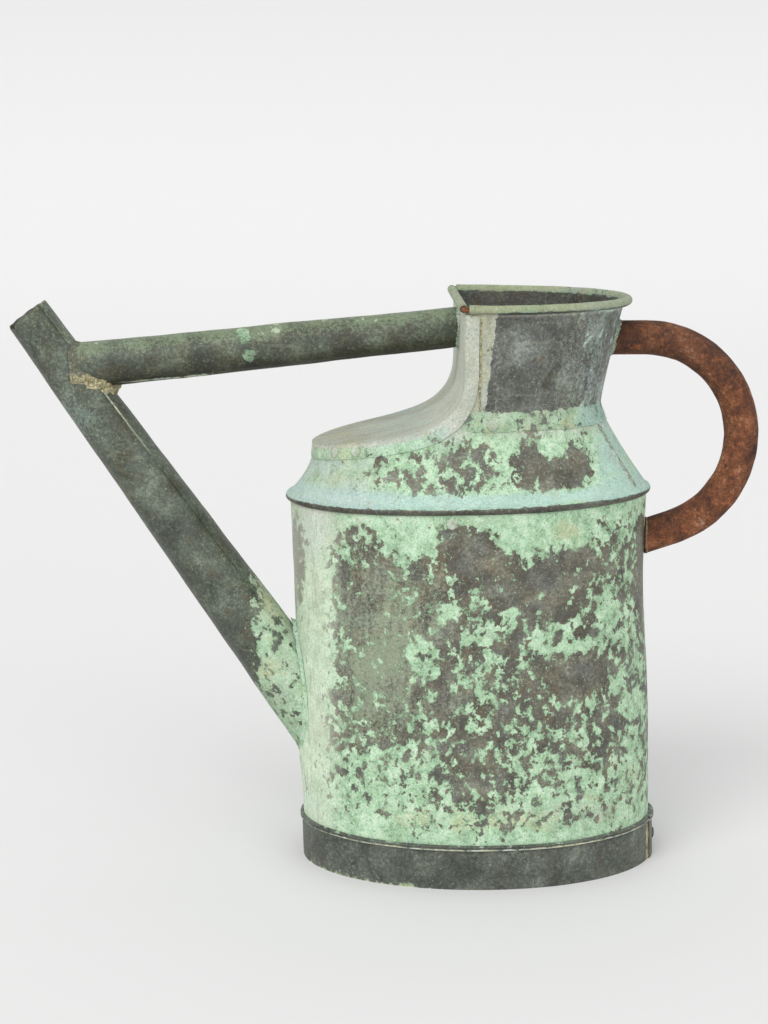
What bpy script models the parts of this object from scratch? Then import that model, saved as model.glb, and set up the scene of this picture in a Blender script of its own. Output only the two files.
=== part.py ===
"""An old oval copper watering can, with a sloping front panel, a tubular strut and a rusty iron handle.

Lengths are in metres and +Z is up. The can is built about the centre of its foot, with the
spout towards -X and the handle towards +X. One empty then moves all of it along X, so that
the origin is the middle of the whole length, on the floor.
"""

import math

import bmesh
import bpy
from mathutils import Vector

# Sheets and the gaps between them
SHEET = 0.0008
GAP = 0.0003
LAYER = SHEET + GAP
FLANGE_GAP = 0.0005
FLANGE_LAYER = SHEET + FLANGE_GAP
COLUMN = math.radians(7.5)
TURN = 2 * math.pi

# Body: an oval tube that leans a little towards the spout
BODY_LENGTH_FOOT = 0.2456
BODY_LENGTH_TOP = 0.2480
BODY_DEPTH_FOOT = 0.1736
BODY_DEPTH_TOP = 0.1630
BODY_LEAN = 0.0077
BODY_SEAM_HEIGHT = 0.2613
BODY_SEAM_RISE = 0.0220
BODY_LAP_EDGE = math.radians(22.5)
BODY_END_HEIGHT = 0.0200

# Foot band and the bottom plate inside it
FOOT_HEIGHT = 0.0310
FOOT_SHEET = 0.0010
FOOT_BEAD = 0.0012
FOOT_LAP_EDGE = math.radians(-15)
FOOT_LAP = math.radians(15)
BOTTOM_HEIGHT = 0.0215
BOTTOM_FLANGE = 0.0090

# Shoulder: from the seam with the body up to the crease under the neck and panel
SEAM_BEAD = 0.0020
SHOULDER_SEAM_ANGLE = math.radians(-22.5)
CREASE_LENGTH = 0.1968
CREASE_DEPTH = 0.1290
CREASE_SHIFT = 0.0163
WAIST_ABOVE_SEAM = 0.0627
SHOULDER_HOLLOW = 1.70
SHOULDER_HOLLOW_CHANGE = 0.45

# Neck, flaring to the wired rim
RIM_ABOVE_WAIST = 0.0705
RIM_LENGTH = 0.1940
RIM_DEPTH = 0.1430
FLARE_POWER = 1.2
NECK_FLANGE = 0.0120
RIM_WIRE_RADIUS = 0.0018
RIM_WIRE_BEND = 0.0040

# Front panel: a flat toe that curves up to the straight side of the rim
PANEL_X = -0.0150
PANEL_ROLL_INSET = 0.0013
TOE_ABOVE_SEAM = 0.0357
PANEL_BEND_ABOVE_WAIST = 0.0260
PANEL_TOE_PULL_RUN = 0.632
PANEL_TOE_PULL_RISE = 0.226
PANEL_BEND_PULL = 0.792
PANEL_FLANGE = 0.0105
PANEL_SIDE_FLANGE = 0.0095
PANEL_SWITCH_ANGLE = math.radians(105)

# Spout: a tapered tube, torn at its tip
SPOUT_REACH = 0.1846
SPOUT_TIP_BELOW_RIM = 0.0082
SPOUT_ROOT_HEIGHT = 0.1205
SPOUT_TIP_RADIUS = 0.0156
SPOUT_ROOT_RADIUS = 0.0240
SPOUT_LAP_EDGE = math.radians(-42)
SPOUT_LAP = math.radians(24)
SPOUT_COLUMN = math.radians(12)
SPOUT_OUTLET_RADIUS = 0.0180
TORN_BITE, TORN_BITE_ANGLE = 0.0042, math.radians(205)
TORN_NICK, TORN_NICK_ANGLE = 0.0016, math.radians(20)
TORN_ROUGHNESS = 0.0007

# Strut from the panel to the spout, the carrying grip
STRUT_BELOW_RIM = 0.0190
STRUT_SLOPE = math.radians(5.72)
STRUT_NECK_RADIUS = 0.0137
STRUT_SPOUT_RADIUS = 0.0155
STRUT_LAP_EDGE = math.radians(-150)
STRUT_LAP = math.radians(30)
STRUT_COLUMN = math.radians(15)

# Rear handle: a bent iron tube
HANDLE_RADIUS = 0.0119
HANDLE_WALL = 0.0016
HANDLE_BELOW_RIM = 0.0267
HANDLE_BEND_RADIUS = 0.0684
HANDLE_BEND_INSET = 0.0032
HANDLE_BEND_END = math.radians(-72)
HANDLE_CUT_REACH = 0.0800

# Solder and rivets
SOLDER_GAP = 0.0008
SOLDER_REACH = 0.1200
SPOUT_SOLDER = 0.0016
SPOUT_SOLDER_START = 0.0700
SPOUT_FLARE = 0.0025
STRUT_SOLDER = 0.0020
NECK_SOLDER = 0.0008
HANDLE_SOLDER = 0.0015
STRIP_WIDTH = 0.0060
STRIP_HEIGHT = 0.0010
RIVET_HEAD_RADIUS = 0.0038
RIVET_HEAD_HEIGHT = 0.0015
RIVET_SEAT = 0.0002
RIVET_SHANK_RADIUS = 0.0016
RIVET_TAIL_RADIUS = 0.0026
RIVET_TAIL_HEIGHT = 0.0010
NECK_RIVET_ANGLE = math.radians(78.5)
NECK_RIVET_DROP = 0.0080
SEAM_RIVET_ANGLE = math.radians(97.5)
SEAM_RIVET_DROP = 0.0085
TOE_RIVET_ANGLES = (math.radians(148), math.radians(135))
TOE_RIVET_DROP = 0.0055
FOOT_RIVET_ANGLE = math.radians(-6)
FOOT_RIVET_HEIGHT = 0.0145

# Heights above the floor, built up from the seam
WAIST_HEIGHT = BODY_SEAM_HEIGHT + WAIST_ABOVE_SEAM
TOE_HEIGHT = BODY_SEAM_HEIGHT + TOE_ABOVE_SEAM
PANEL_BEND_TOP = WAIST_HEIGHT + PANEL_BEND_ABOVE_WAIST
RIM_HEIGHT = WAIST_HEIGHT + RIM_ABOVE_WAIST
STRUT_NECK_HEIGHT = RIM_HEIGHT - STRUT_BELOW_RIM
HANDLE_HEIGHT = RIM_HEIGHT - HANDLE_BELOW_RIM

# Run and rise of the panel's bend, and the stretches where its flanges change along it
PANEL_TOE_X = -CREASE_SHIFT - CREASE_LENGTH / 2
PANEL_RUN = PANEL_X - PANEL_TOE_X
PANEL_RISE = PANEL_BEND_TOP - TOE_HEIGHT
FLANGE_TURN_X, FLANGE_TURN_SPAN = PANEL_TOE_X + 0.30 * PANEL_RUN, 0.45 * PANEL_RUN
FLANGE_NARROW_X, FLANGE_NARROW_SPAN = PANEL_TOE_X + 0.70 * PANEL_RUN, 0.28 * PANEL_RUN
OVER_NECK_X, OVER_NECK_SPAN = PANEL_TOE_X + 0.85 * PANEL_RUN, 0.08 * PANEL_RUN


def lerp(a, b, share):
    return a + (b - a) * share


def ease(share):
    share = min(max(share, 0.0), 1.0)
    return share * share * (3 - 2 * share)


class Oval:
    """An ellipse seen from above, level or rising towards +X."""

    def __init__(self, half_length, half_depth, x, z, rise=0.0):
        self.half_length = half_length
        self.half_depth = half_depth
        self.x = x
        self.z = z
        self.rise = rise

    def at(self, angle, out=0.0):
        along = (self.half_length + out) * math.cos(angle)
        across = (self.half_depth + out) * math.sin(angle)
        return Vector((self.x + along, across, self.z + self.rise * along))

    def holds(self, point, out=0.0):
        along = (point.x - self.x) / (self.half_length + out)
        across = point.y / (self.half_depth + out)
        return along * along + across * across < 1.0

    def half_depth_at(self, x):
        along = (x - self.x) / self.half_length
        return self.half_depth * math.sqrt(max(0.0, 1.0 - along * along))


# The surfaces that the sheets follow

def body_oval(height):
    """The outer face of the body wall at a height above the floor."""
    share = height / BODY_SEAM_HEIGHT
    return Oval(
        lerp(BODY_LENGTH_FOOT, BODY_LENGTH_TOP, share) / 2,
        lerp(BODY_DEPTH_FOOT, BODY_DEPTH_TOP, share) / 2,
        -BODY_LEAN * share,
        height,
    )


def seam_oval(lift=0.0):
    """The top of the body wall, which rises towards the handle."""
    oval = body_oval(BODY_SEAM_HEIGHT)
    oval.z += lift
    oval.rise = BODY_SEAM_RISE
    return oval


def neck_oval(height):
    """The inner layer of the neck at a height between the waist and the rim."""
    share = (height - WAIST_HEIGHT) / (RIM_HEIGHT - WAIST_HEIGHT)
    flare = max(share, 0.0) ** FLARE_POWER
    return Oval(
        lerp(CREASE_LENGTH, RIM_LENGTH, flare) / 2,
        lerp(CREASE_DEPTH, RIM_DEPTH, flare) / 2,
        lerp(-CREASE_SHIFT, 0.0, flare),
        height,
    )


def panel_point(share):
    """The bent part of the panel's outer face: share 0 at the toe, 1 where it turns upright."""
    toe = Vector((PANEL_TOE_X, 0.0, TOE_HEIGHT))
    toe_pull = Vector((PANEL_TOE_PULL_RUN * PANEL_RUN, 0.0, PANEL_TOE_PULL_RISE * PANEL_RISE))
    pulled_toe = toe + toe_pull
    upright = Vector((PANEL_X, 0.0, PANEL_BEND_TOP))
    pulled_upright = upright - Vector((0.0, 0.0, PANEL_BEND_PULL * PANEL_RISE))
    rest = 1.0 - share
    return (
        toe * rest**3
        + pulled_toe * 3 * rest * rest * share
        + pulled_upright * 3 * rest * share * share
        + upright * share**3
    )


def panel_share(value, axis):
    """The share of the bend at which the panel reaches an X or a height."""
    low, high = 0.0, 1.0
    for _ in range(40):
        middle = (low + high) / 2
        if panel_point(middle)[axis] < value:
            low = middle
        else:
            high = middle
    return low


def panel_normal(share):
    """Points from the panel's outer face into the can."""
    step = 0.001
    ahead = panel_point(min(share + step, 1.0)) - panel_point(max(share - step, 0.0))
    ahead.normalize()
    return Vector((ahead.z, 0.0, -ahead.x))


def crease_point(angle):
    """The top edge of the shoulder, which follows the panel and then the waist of the neck."""
    point = neck_oval(WAIST_HEIGHT).at(angle)
    bend_x = panel_point(panel_share(WAIST_HEIGHT, 2)).x
    if point.x < bend_x:
        point.z = panel_point(panel_share(point.x, 0)).z
    return point


SHOULDER_LIFT = SEAM_BEAD + SHEET


def shoulder_point(angle, share, out=0.0):
    """The outer face of the shoulder: share 0 at the seam and 1 at the crease."""
    low = seam_oval(SHOULDER_LIFT).at(angle)
    high = crease_point(angle)
    hollow = SHOULDER_HOLLOW - SHOULDER_HOLLOW_CHANGE * math.cos(angle)
    inset = 1.0 - (1.0 - share) ** hollow
    point = low.lerp(high, inset)
    point.z = lerp(low.z, high.z, share)
    point.x += out * math.cos(angle)
    point.y += out * math.sin(angle)
    return point


def shoulder_height(angle):
    return crease_point(angle).z - seam_oval(SHOULDER_LIFT).at(angle).z


def side_depth(x, height):
    """Half of the depth of the can's outer side, neck or shoulder, at an X and a height."""
    if height >= WAIST_HEIGHT:
        return neck_oval(height).half_depth_at(x)
    low, high = 0.0, math.pi
    for _ in range(40):
        middle = (low + high) / 2
        foot = seam_oval(SHOULDER_LIFT).at(middle).z
        share = min(max((height - foot) / shoulder_height(middle), 0.0), 1.0)
        if shoulder_point(middle, share).x > x:
            low = middle
        else:
            high = middle
    return shoulder_point(low, share).y


SPOUT_ROOT = body_oval(SPOUT_ROOT_HEIGHT).at(math.pi)
SPOUT_TIP = Vector((SPOUT_ROOT.x - SPOUT_REACH, 0.0, RIM_HEIGHT - SPOUT_TIP_BELOW_RIM))
SPOUT_LENGTH = (SPOUT_ROOT - SPOUT_TIP).length
SPOUT_AXIS = (SPOUT_ROOT - SPOUT_TIP).normalized()


def spout_radius(along):
    return lerp(SPOUT_TIP_RADIUS, SPOUT_ROOT_RADIUS, along / SPOUT_LENGTH)


def outside_spout(point, out):
    from_tip = point - SPOUT_TIP
    along = from_tip.dot(SPOUT_AXIS)
    return (from_tip - SPOUT_AXIS * along).length > spout_radius(along) + out


def outside_body(point, out):
    return not body_oval(point.z).holds(point, out)


def outside_neck(point, out):
    return not neck_oval(point.z).holds(point, FLANGE_LAYER + out)


def outside_panel(point, out):
    return point.x < PANEL_X - out


def hit(start, direction, outside, out, reach):
    """The last point on the way from start that lies outside a surface by at least out."""
    near, far = 0.0, reach
    for _ in range(40):
        middle = (near + far) / 2
        if outside(start + direction * middle, out):
            near = middle
        else:
            far = middle
    return start + direction * near


# Materials and meshes

def material(name, colour, roughness, metallic):
    made = bpy.data.materials.new(name)
    made.use_nodes = True
    shader = made.node_tree.nodes["Principled BSDF"]
    shader.inputs["Base Color"].default_value = (*colour, 1.0)
    shader.inputs["Roughness"].default_value = roughness
    shader.inputs["Metallic"].default_value = metallic
    made.diffuse_color = (*colour, 1.0)
    return made


def add_object(name, mesh, paint, parent):
    mesh.shade_smooth()
    mesh.set_sharp_from_angle(angle=math.radians(35))
    made = bpy.data.objects.new(name, mesh)
    made.data.materials.append(paint)
    bpy.context.scene.collection.objects.link(made)
    made.parent = parent
    return made


def closed_mesh(name, vertices, faces):
    """A mesh with its doubled points joined and its faces turned outwards."""
    mesh = bpy.data.meshes.new(name)
    mesh.from_pydata(vertices, [], faces)
    work = bmesh.new()
    work.from_mesh(mesh)
    bmesh.ops.remove_doubles(work, verts=work.verts, dist=1e-6)
    bmesh.ops.dissolve_degenerate(work, edges=work.edges, dist=1e-7)
    bmesh.ops.recalc_face_normals(work, faces=work.faces)
    if work.calc_volume(signed=True) < 0:
        bmesh.ops.reverse_faces(work, faces=work.faces)
    work.to_mesh(mesh)
    work.free()
    return mesh


def sheet_mesh(name, outer, inner, loop=False):
    """A sheet between two grids of points. With loop, each row runs round and meets itself."""
    rows, columns = len(outer), len(outer[0])
    vertices = [point for grid in (outer, inner) for row in grid for point in row]
    under = rows * columns
    faces = []

    def quad(row, column, next_row, next_column):
        a = row * columns + column
        b = row * columns + next_column
        c = next_row * columns + next_column
        d = next_row * columns + column
        return a, b, c, d

    for row in range(rows - 1):
        for column in range(columns if loop else columns - 1):
            face = quad(row, column, row + 1, (column + 1) % columns)
            faces.append(face)
            faces.append(tuple(under + corner for corner in reversed(face)))
    for row in (0, rows - 1):
        for column in range(columns if loop else columns - 1):
            a = row * columns + column
            b = row * columns + (column + 1) % columns
            faces.append((a, b, under + b, under + a))
    if not loop:
        for column in (0, columns - 1):
            for row in range(rows - 1):
                a = row * columns + column
                b = (row + 1) * columns + column
                faces.append((a, b, under + b, under + a))
    return closed_mesh(name, vertices, faces)


def turned_mesh(name, rings):
    """A solid through a row of rings, with a flat cap on the first and the last one."""
    sides = len(rings[0])
    vertices = [point for ring in rings for point in ring]
    faces = [tuple(range(sides)), tuple(range((len(rings) - 1) * sides, len(rings) * sides))]
    for ring in range(len(rings) - 1):
        for side in range(sides):
            after = (side + 1) % sides
            a, b = ring * sides + side, ring * sides + after
            faces.append((a, b, b + sides, a + sides))
    return closed_mesh(name, vertices, faces)


def lap_angles(edge, lap, column=COLUMN):
    """Angles once round from the edge of a lapped seam and on over the lap."""
    count = round((TURN + lap) / column)
    return [edge + step * column for step in range(count + 1)]


def lap_offset(angle, edge, blend=2 * COLUMN):
    """How far a lapped sheet has moved to its second layer: 0 to 1."""
    return ease((angle - edge - TURN + blend) / blend)


def loop_curve(name, points, radius, paint, parent):
    """A closed rod of round section through the points."""
    curve = bpy.data.curves.new(name, "CURVE")
    curve.dimensions = "3D"
    curve.bevel_depth = radius
    curve.bevel_resolution = 1
    spline = curve.splines.new("POLY")
    spline.points.add(len(points) - 1)
    for place, point in zip(spline.points, points):
        place.co = (*point, 1.0)
    spline.use_cyclic_u = True
    made = bpy.data.objects.new(name, curve)
    curve.materials.append(paint)
    bpy.context.scene.collection.objects.link(made)
    made.parent = parent
    return made


def cut(target, cutter):
    modifier = target.modifiers.new("Cut_" + cutter.name, "BOOLEAN")
    modifier.operation = "DIFFERENCE"
    modifier.solver = "EXACT"
    modifier.object = cutter
    cutter.hide_render = True
    cutter.display_type = "WIRE"


def circle(centre, axis, radius, sides, start=0.0):
    """Points round an axis."""
    axis = axis.normalized()
    first = axis.orthogonal().normalized()
    second = axis.cross(first)
    return [
        centre
        + first * radius * math.cos(start + TURN * side / sides)
        + second * radius * math.sin(start + TURN * side / sides)
        for side in range(sides)
    ]


# The parts

def make_body_wall(paint, parent):
    """One sheet rolled to an oval tube, lapped at the back beside the handle."""
    angles = lap_angles(BODY_LAP_EDGE, COLUMN)
    rows = 3
    top_lift = 0.5 * SEAM_BEAD
    outer, inner = [], []
    for row in range(rows):
        share = row / (rows - 1)
        outer_row, inner_row = [], []
        for angle in angles:
            out = -LAYER * lap_offset(angle, BODY_LAP_EDGE)
            top = seam_oval(top_lift).at(angle).z
            oval = body_oval(lerp(BODY_END_HEIGHT, BODY_SEAM_HEIGHT, share))
            for made, more in ((outer_row, 0.0), (inner_row, -SHEET)):
                point = oval.at(angle, out + more)
                point.z = lerp(BODY_END_HEIGHT, top, share)
                made.append(point)
        outer.append(outer_row)
        inner.append(inner_row)
    return add_object("body_wall", sheet_mesh("body_wall", outer, inner), paint, parent)


def cut_outlet(wall, parent):
    """The opening in the body wall behind the spout."""
    start = SPOUT_ROOT - SPOUT_AXIS * 2 * SPOUT_OUTLET_RADIUS
    end = SPOUT_ROOT + SPOUT_AXIS * 2.5 * SPOUT_OUTLET_RADIUS
    rings = [circle(place, SPOUT_AXIS, SPOUT_OUTLET_RADIUS, 20) for place in (start, end)]
    cutter = bpy.data.objects.new("outlet_cutter", turned_mesh("outlet_cutter", rings))
    bpy.context.scene.collection.objects.link(cutter)
    cutter.parent = parent
    cut(wall, cutter)


def make_foot_band(paint, parent):
    """The foot ring, with a beaded top edge and its end lapped over at the back."""
    start = -FOOT_LAP_EDGE - FOOT_LAP
    angles = lap_angles(start, FOOT_LAP)
    profile = (
        (0.0, 0.0),
        (FOOT_HEIGHT - 3.2 * FOOT_BEAD, 0.0),
        (FOOT_HEIGHT - 1.6 * FOOT_BEAD, FOOT_BEAD),
        (FOOT_HEIGHT, 0.0),
    )
    outer, inner = [], []
    for height, bead in profile:
        outer_row, inner_row = [], []
        for angle in angles:
            second = lap_offset(angle, start)
            base = GAP + (FOOT_SHEET + GAP + bead) * second
            inner_row.append(body_oval(height).at(-angle, base))
            outer_row.append(body_oval(height).at(-angle, base + FOOT_SHEET + bead * (1.0 - second)))
        outer.append(outer_row)
        inner.append(inner_row)
    return add_object("foot_band", sheet_mesh("foot_band", outer, inner), paint, parent)


def make_bottom_plate(paint, parent):
    """A flat oval plate with its edge turned up inside the body wall."""
    edge = -SHEET - LAYER - GAP
    angles = [COLUMN * step for step in range(round(TURN / COLUMN))]

    def ring(out, height):
        return [body_oval(height).at(angle, out) for angle in angles]

    rings = [
        ring(edge - SHEET, BOTTOM_HEIGHT),
        ring(edge, BOTTOM_HEIGHT + SHEET),
        ring(edge, BOTTOM_HEIGHT + BOTTOM_FLANGE),
        ring(edge - SHEET, BOTTOM_HEIGHT + BOTTOM_FLANGE),
        ring(edge - SHEET, BOTTOM_HEIGHT + 1.5 * SHEET),
        ring(edge - 1.5 * SHEET, BOTTOM_HEIGHT + SHEET),
    ]
    return add_object("bottom_plate", turned_mesh("bottom_plate", rings), paint, parent)


def seam_angles():
    """Angles round the shoulder, from one side of its butted seam to the other."""
    opening = GAP / BODY_LENGTH_TOP
    count = round(TURN / COLUMN)
    angles = [SHOULDER_SEAM_ANGLE + step * COLUMN for step in range(count + 1)]
    angles[0] += opening
    angles[-1] -= opening
    return angles


def make_shoulder(paint, parent):
    """The coned shoulder, with its lower edge rolled out to a bead over the body wall."""
    rows = 6
    turns = [math.radians(turn) for turn in (-90, -45, 0, 45)]
    outer = [[] for _ in range(len(turns) + rows)]
    inner = [[] for _ in range(len(turns) + rows)]
    for angle in seam_angles():
        for row, turn in enumerate(turns):
            for grid, radius in ((outer, SEAM_BEAD + SHEET), (inner, SEAM_BEAD)):
                lift = radius * math.sin(turn)
                grid[row].append(seam_oval(lift).at(angle, GAP + radius * math.cos(turn)))
        top = 1.0 - (SHEET + 2 * GAP) / shoulder_height(angle)
        for row in range(rows):
            share = top * row / (rows - 1)
            outer[len(turns) + row].append(shoulder_point(angle, share))
            inner[len(turns) + row].append(shoulder_point(angle, share, -SHEET))
    return add_object("shoulder", sheet_mesh("shoulder", outer, inner), paint, parent)


CURL_STEP = math.radians(50)
CURL_ANGLES = [math.pi - CURL_STEP * step for step in range(7)]
BEAD_INNER = (RIM_WIRE_RADIUS + GAP) / math.cos(CURL_STEP / 2)
BEAD_OUTER = BEAD_INNER + SHEET
NECK_COLUMNS = 28
NECK_EDGE_X = PANEL_X + SHEET + GAP
WIRE_LINE_X = PANEL_X + PANEL_ROLL_INSET - BEAD_INNER


def neck_angle(height, edge_x=NECK_EDGE_X):
    """The angle of the corner where the neck meets the panel."""
    oval = neck_oval(height)
    return math.acos((edge_x - oval.x) / oval.half_length)


def wire_angle():
    """The angle where the wire leaves the neck's roll to turn the corner."""
    return neck_angle(RIM_HEIGHT, WIRE_LINE_X + RIM_WIRE_BEND)


def plan_normal(oval, angle):
    return Vector(
        (math.cos(angle) / oval.half_length, math.sin(angle) / oval.half_depth, 0.0)
    ).normalized()


def make_neck_wall(paint, parent):
    """The neck, one sheet from corner to corner, rolled round the rim wire and flanged below."""
    columns = NECK_COLUMNS
    wall_rows = 5
    flange_rows = 2
    outer, inner = [], []
    rim = neck_oval(RIM_HEIGHT)
    for curl in reversed(CURL_ANGLES[1:]):
        outer_row, inner_row = [], []
        for column in range(columns + 1):
            angle = wire_angle() * (2 * column / columns - 1)
            normal = plan_normal(rim, angle)
            centre = rim.at(angle, FLANGE_LAYER) + normal * BEAD_INNER
            for made, radius in ((outer_row, BEAD_INNER), (inner_row, BEAD_OUTER)):
                lift = Vector((0.0, 0.0, radius * math.sin(curl)))
                made.append(centre + normal * radius * math.cos(curl) + lift)
        outer.append(outer_row)
        inner.append(inner_row)
    for row in range(wall_rows):
        height = lerp(RIM_HEIGHT, WAIST_HEIGHT, row / (wall_rows - 1))
        oval = neck_oval(height)
        angles = [neck_angle(height) * (2 * column / columns - 1) for column in range(columns + 1)]
        outer.append([oval.at(angle, FLANGE_LAYER) for angle in angles])
        inner.append([oval.at(angle, FLANGE_GAP) for angle in angles])
    for row in range(1, flange_rows + 1):
        outer_row, inner_row = [], []
        for column in range(columns + 1):
            angle = neck_angle(WAIST_HEIGHT) * (2 * column / columns - 1)
            full = ease(min(column, columns - column) / 3)
            length = lerp(2 * SHEET, NECK_FLANGE, full)
            share = 1.0 - length * row / flange_rows / shoulder_height(angle)
            outer_row.append(shoulder_point(angle, share, FLANGE_LAYER))
            inner_row.append(shoulder_point(angle, share, FLANGE_GAP))
        outer.append(outer_row)
        inner.append(inner_row)
    return add_object("neck_wall", sheet_mesh("neck_wall", outer, inner), paint, parent)


def panel_stations():
    """Places down the panel as (point, normal into the can, half width)."""
    stations = []
    upright_rows = 4
    side_top = RIM_HEIGHT - BEAD_OUTER - 2 * GAP
    heights = [lerp(side_top, PANEL_BEND_TOP, row / (upright_rows - 1)) for row in range(upright_rows)]
    for height in heights:
        point = Vector((PANEL_X, 0.0, height))
        stations.append((point, Vector((1.0, 0.0, 0.0)), side_depth(PANEL_X, height)))
    crease = neck_oval(WAIST_HEIGHT)
    switch_height = panel_point(panel_share(crease.at(PANEL_SWITCH_ANGLE).x, 0)).z
    bend_rows = 7
    for row in range(1, bend_rows):
        height = lerp(PANEL_BEND_TOP, switch_height, row / bend_rows)
        share = panel_share(height, 2)
        point = panel_point(share)
        width = side_depth(point.x, height) if height > WAIST_HEIGHT else crease.half_depth_at(point.x)
        stations.append((point, panel_normal(share), width))
    steps = round((math.pi - PANEL_SWITCH_ANGLE) / COLUMN)
    for step in range(steps + 1):
        angle = lerp(PANEL_SWITCH_ANGLE, math.pi, step / steps)
        edge = crease.at(angle)
        share = panel_share(edge.x, 0)
        stations.append((panel_point(share), panel_normal(share), abs(edge.y)))
    return stations


def panel_flange_point(point, normal, side, reach, layer, face):
    """A point of the panel's folded flange beside a station: reach 1 is its lower edge."""
    crease = neck_oval(WAIST_HEIGHT)
    out = (FLANGE_GAP if face else FLANGE_LAYER) + FLANGE_LAYER * layer
    along = (point.x - crease.x) / crease.half_length
    angle = math.acos(min(max(along, -1.0), 1.0))
    share = 1.0 - reach * PANEL_FLANGE / shoulder_height(angle)
    down = shoulder_point(side * angle, share, out)
    mix = ease((point.x - FLANGE_TURN_X) / FLANGE_TURN_SPAN)
    if mix == 0.0:
        return down
    narrow = ease((point.x - FLANGE_NARROW_X) / FLANGE_NARROW_SPAN)
    width = lerp(PANEL_FLANGE, PANEL_SIDE_FLANGE, narrow)
    tip = point + normal * width * reach
    depth = side_depth(tip.x, tip.z) + out
    beside = Vector((tip.x, side * depth, tip.z))
    return down.lerp(beside, mix)


def panel_row(point, normal, width, layer, inner, flange):
    """Points across one face of the panel. Without a flange, its points fold back to the edge."""
    crease = neck_oval(WAIST_HEIGHT)
    cosine = min(max((crease.x - point.x) / crease.half_length, 0.0), 1.0)
    out = (FLANGE_GAP if inner else FLANGE_LAYER) + FLANGE_LAYER * layer
    place = point + normal * (SHEET if inner else 0.0) - Vector((out * cosine, 0.0, 0.0))
    half = width + out * math.sqrt(1.0 - cosine * cosine)
    columns = 4
    sheet = [Vector((place.x, half * (2 * k / columns - 1), place.z)) for k in range(columns + 1)]
    sides = []
    for side, edge in ((-1, sheet[0]), (1, sheet[-1])):
        if flange:
            folds = [
                panel_flange_point(point, normal, side, reach, layer, inner) for reach in (1.0, 0.5)
            ]
        else:
            folds = [edge.copy(), edge.copy()]
        sides.append(folds)
    return sides[0] + sheet + sides[1][::-1]


PANEL_ACROSS = (-1, -1, -1, -0.5, 0, 0.5, 1, 1, 1)


def make_front_panel(paint, parent):
    """The front panel, with its folded side flanges and its top edge rolled round the wire."""
    stations = panel_stations()
    top, upright, top_half = stations[0]
    rim_half = neck_oval(RIM_HEIGHT).half_depth_at(PANEL_X)
    outer, inner = [], []
    for curl in reversed(CURL_ANGLES):
        for grid, radius in ((outer, BEAD_INNER), (inner, BEAD_OUTER)):
            x = WIRE_LINE_X - radius * math.cos(curl)
            edge = Vector((x, rim_half, RIM_HEIGHT + radius * math.sin(curl)))
            grid.append([Vector((edge.x, edge.y * share, edge.z)) for share in PANEL_ACROSS])
    for rise, layer in ((2 * GAP, -1.0), (GAP, 1.0)):
        step = top + Vector((0.0, 0.0, rise))
        for grid, is_inner in ((outer, False), (inner, True)):
            grid.append(panel_row(step, upright, top_half, layer, is_inner, False))
    for point, normal, width in stations:
        layer = ease((point.x - OVER_NECK_X) / OVER_NECK_SPAN)
        for grid, is_inner in ((outer, False), (inner, True)):
            grid.append(panel_row(point, normal, width, layer, is_inner, True))
    return add_object("front_panel", sheet_mesh("front_panel", outer, inner), paint, parent)


def make_rim_wire(paint, parent):
    """The iron wire that the rim is rolled round, bare where it turns the two corners."""
    rim = neck_oval(RIM_HEIGHT)
    points = []
    for step in range(NECK_COLUMNS + 1):
        angle = wire_angle() * (2 * step / NECK_COLUMNS - 1)
        points.append(rim.at(angle, FLANGE_LAYER) + plan_normal(rim, angle) * BEAD_INNER)
    end = points[-1] - Vector((RIM_WIRE_BEND / 4, 0.0, 0.0))
    bend_x = end.x - WIRE_LINE_X
    bend_y = end.y - neck_oval(RIM_HEIGHT).half_depth_at(PANEL_X)
    corner = Vector((end.x, end.y - bend_y, RIM_HEIGHT))
    bend = [
        corner + Vector((-bend_x * math.sin(turn), bend_y * math.cos(turn), 0.0))
        for turn in (0.0, math.radians(30), math.radians(60), math.radians(90))
    ]
    mirrored = [Vector((point.x, -point.y, point.z)) for point in reversed(bend)]
    return loop_curve("rim_wire", points + bend + mirrored, RIM_WIRE_RADIUS, paint, parent)


def torn(angle):
    """How much is missing from the spout's tip, at an angle round it."""
    bite = max(0.0, math.cos(angle - TORN_BITE_ANGLE)) ** 3
    nick = max(0.0, math.cos(angle - TORN_NICK_ANGLE)) ** 12
    rough = 0.5 + 0.5 * math.sin(7 * angle) * math.cos(3 * angle + 1.0)
    return TORN_BITE * bite * lerp(0.55, 1.0, rough) + TORN_NICK * nick + TORN_ROUGHNESS * rough


def make_spout(paint, parent):
    """The spout, a tapered tube with a lapped seam, cut to the curve of the body."""
    angles = lap_angles(SPOUT_LAP_EDGE, SPOUT_LAP, SPOUT_COLUMN)
    offsets = [-LAYER * lap_offset(angle, SPOUT_LAP_EDGE, 2 * SPOUT_COLUMN) for angle in angles]
    first = Vector((-SPOUT_AXIS.z, 0.0, SPOUT_AXIS.x))
    second = Vector((0.0, 1.0, 0.0))
    rows = 4
    outer = [[] for _ in range(rows)]
    inner = [[] for _ in range(rows)]
    for angle, out in zip(angles, offsets):
        ray = first * math.cos(angle) + second * math.sin(angle)
        for grid, less in ((outer, 0.0), (inner, SHEET)):
            start = SPOUT_TIP + SPOUT_AXIS * torn(angle)
            start += ray * (spout_radius(torn(angle)) + out - less)
            far = SPOUT_TIP + SPOUT_AXIS * SPOUT_LENGTH * 1.5
            far += ray * (spout_radius(SPOUT_LENGTH * 1.5) + out - less)
            way = far - start
            end = hit(start, way.normalized(), outside_body, GAP, way.length)
            for row in range(rows):
                grid[row].append(start.lerp(end, row / (rows - 1)))
    return add_object("spout", sheet_mesh("spout", outer, inner), paint, parent)


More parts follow.
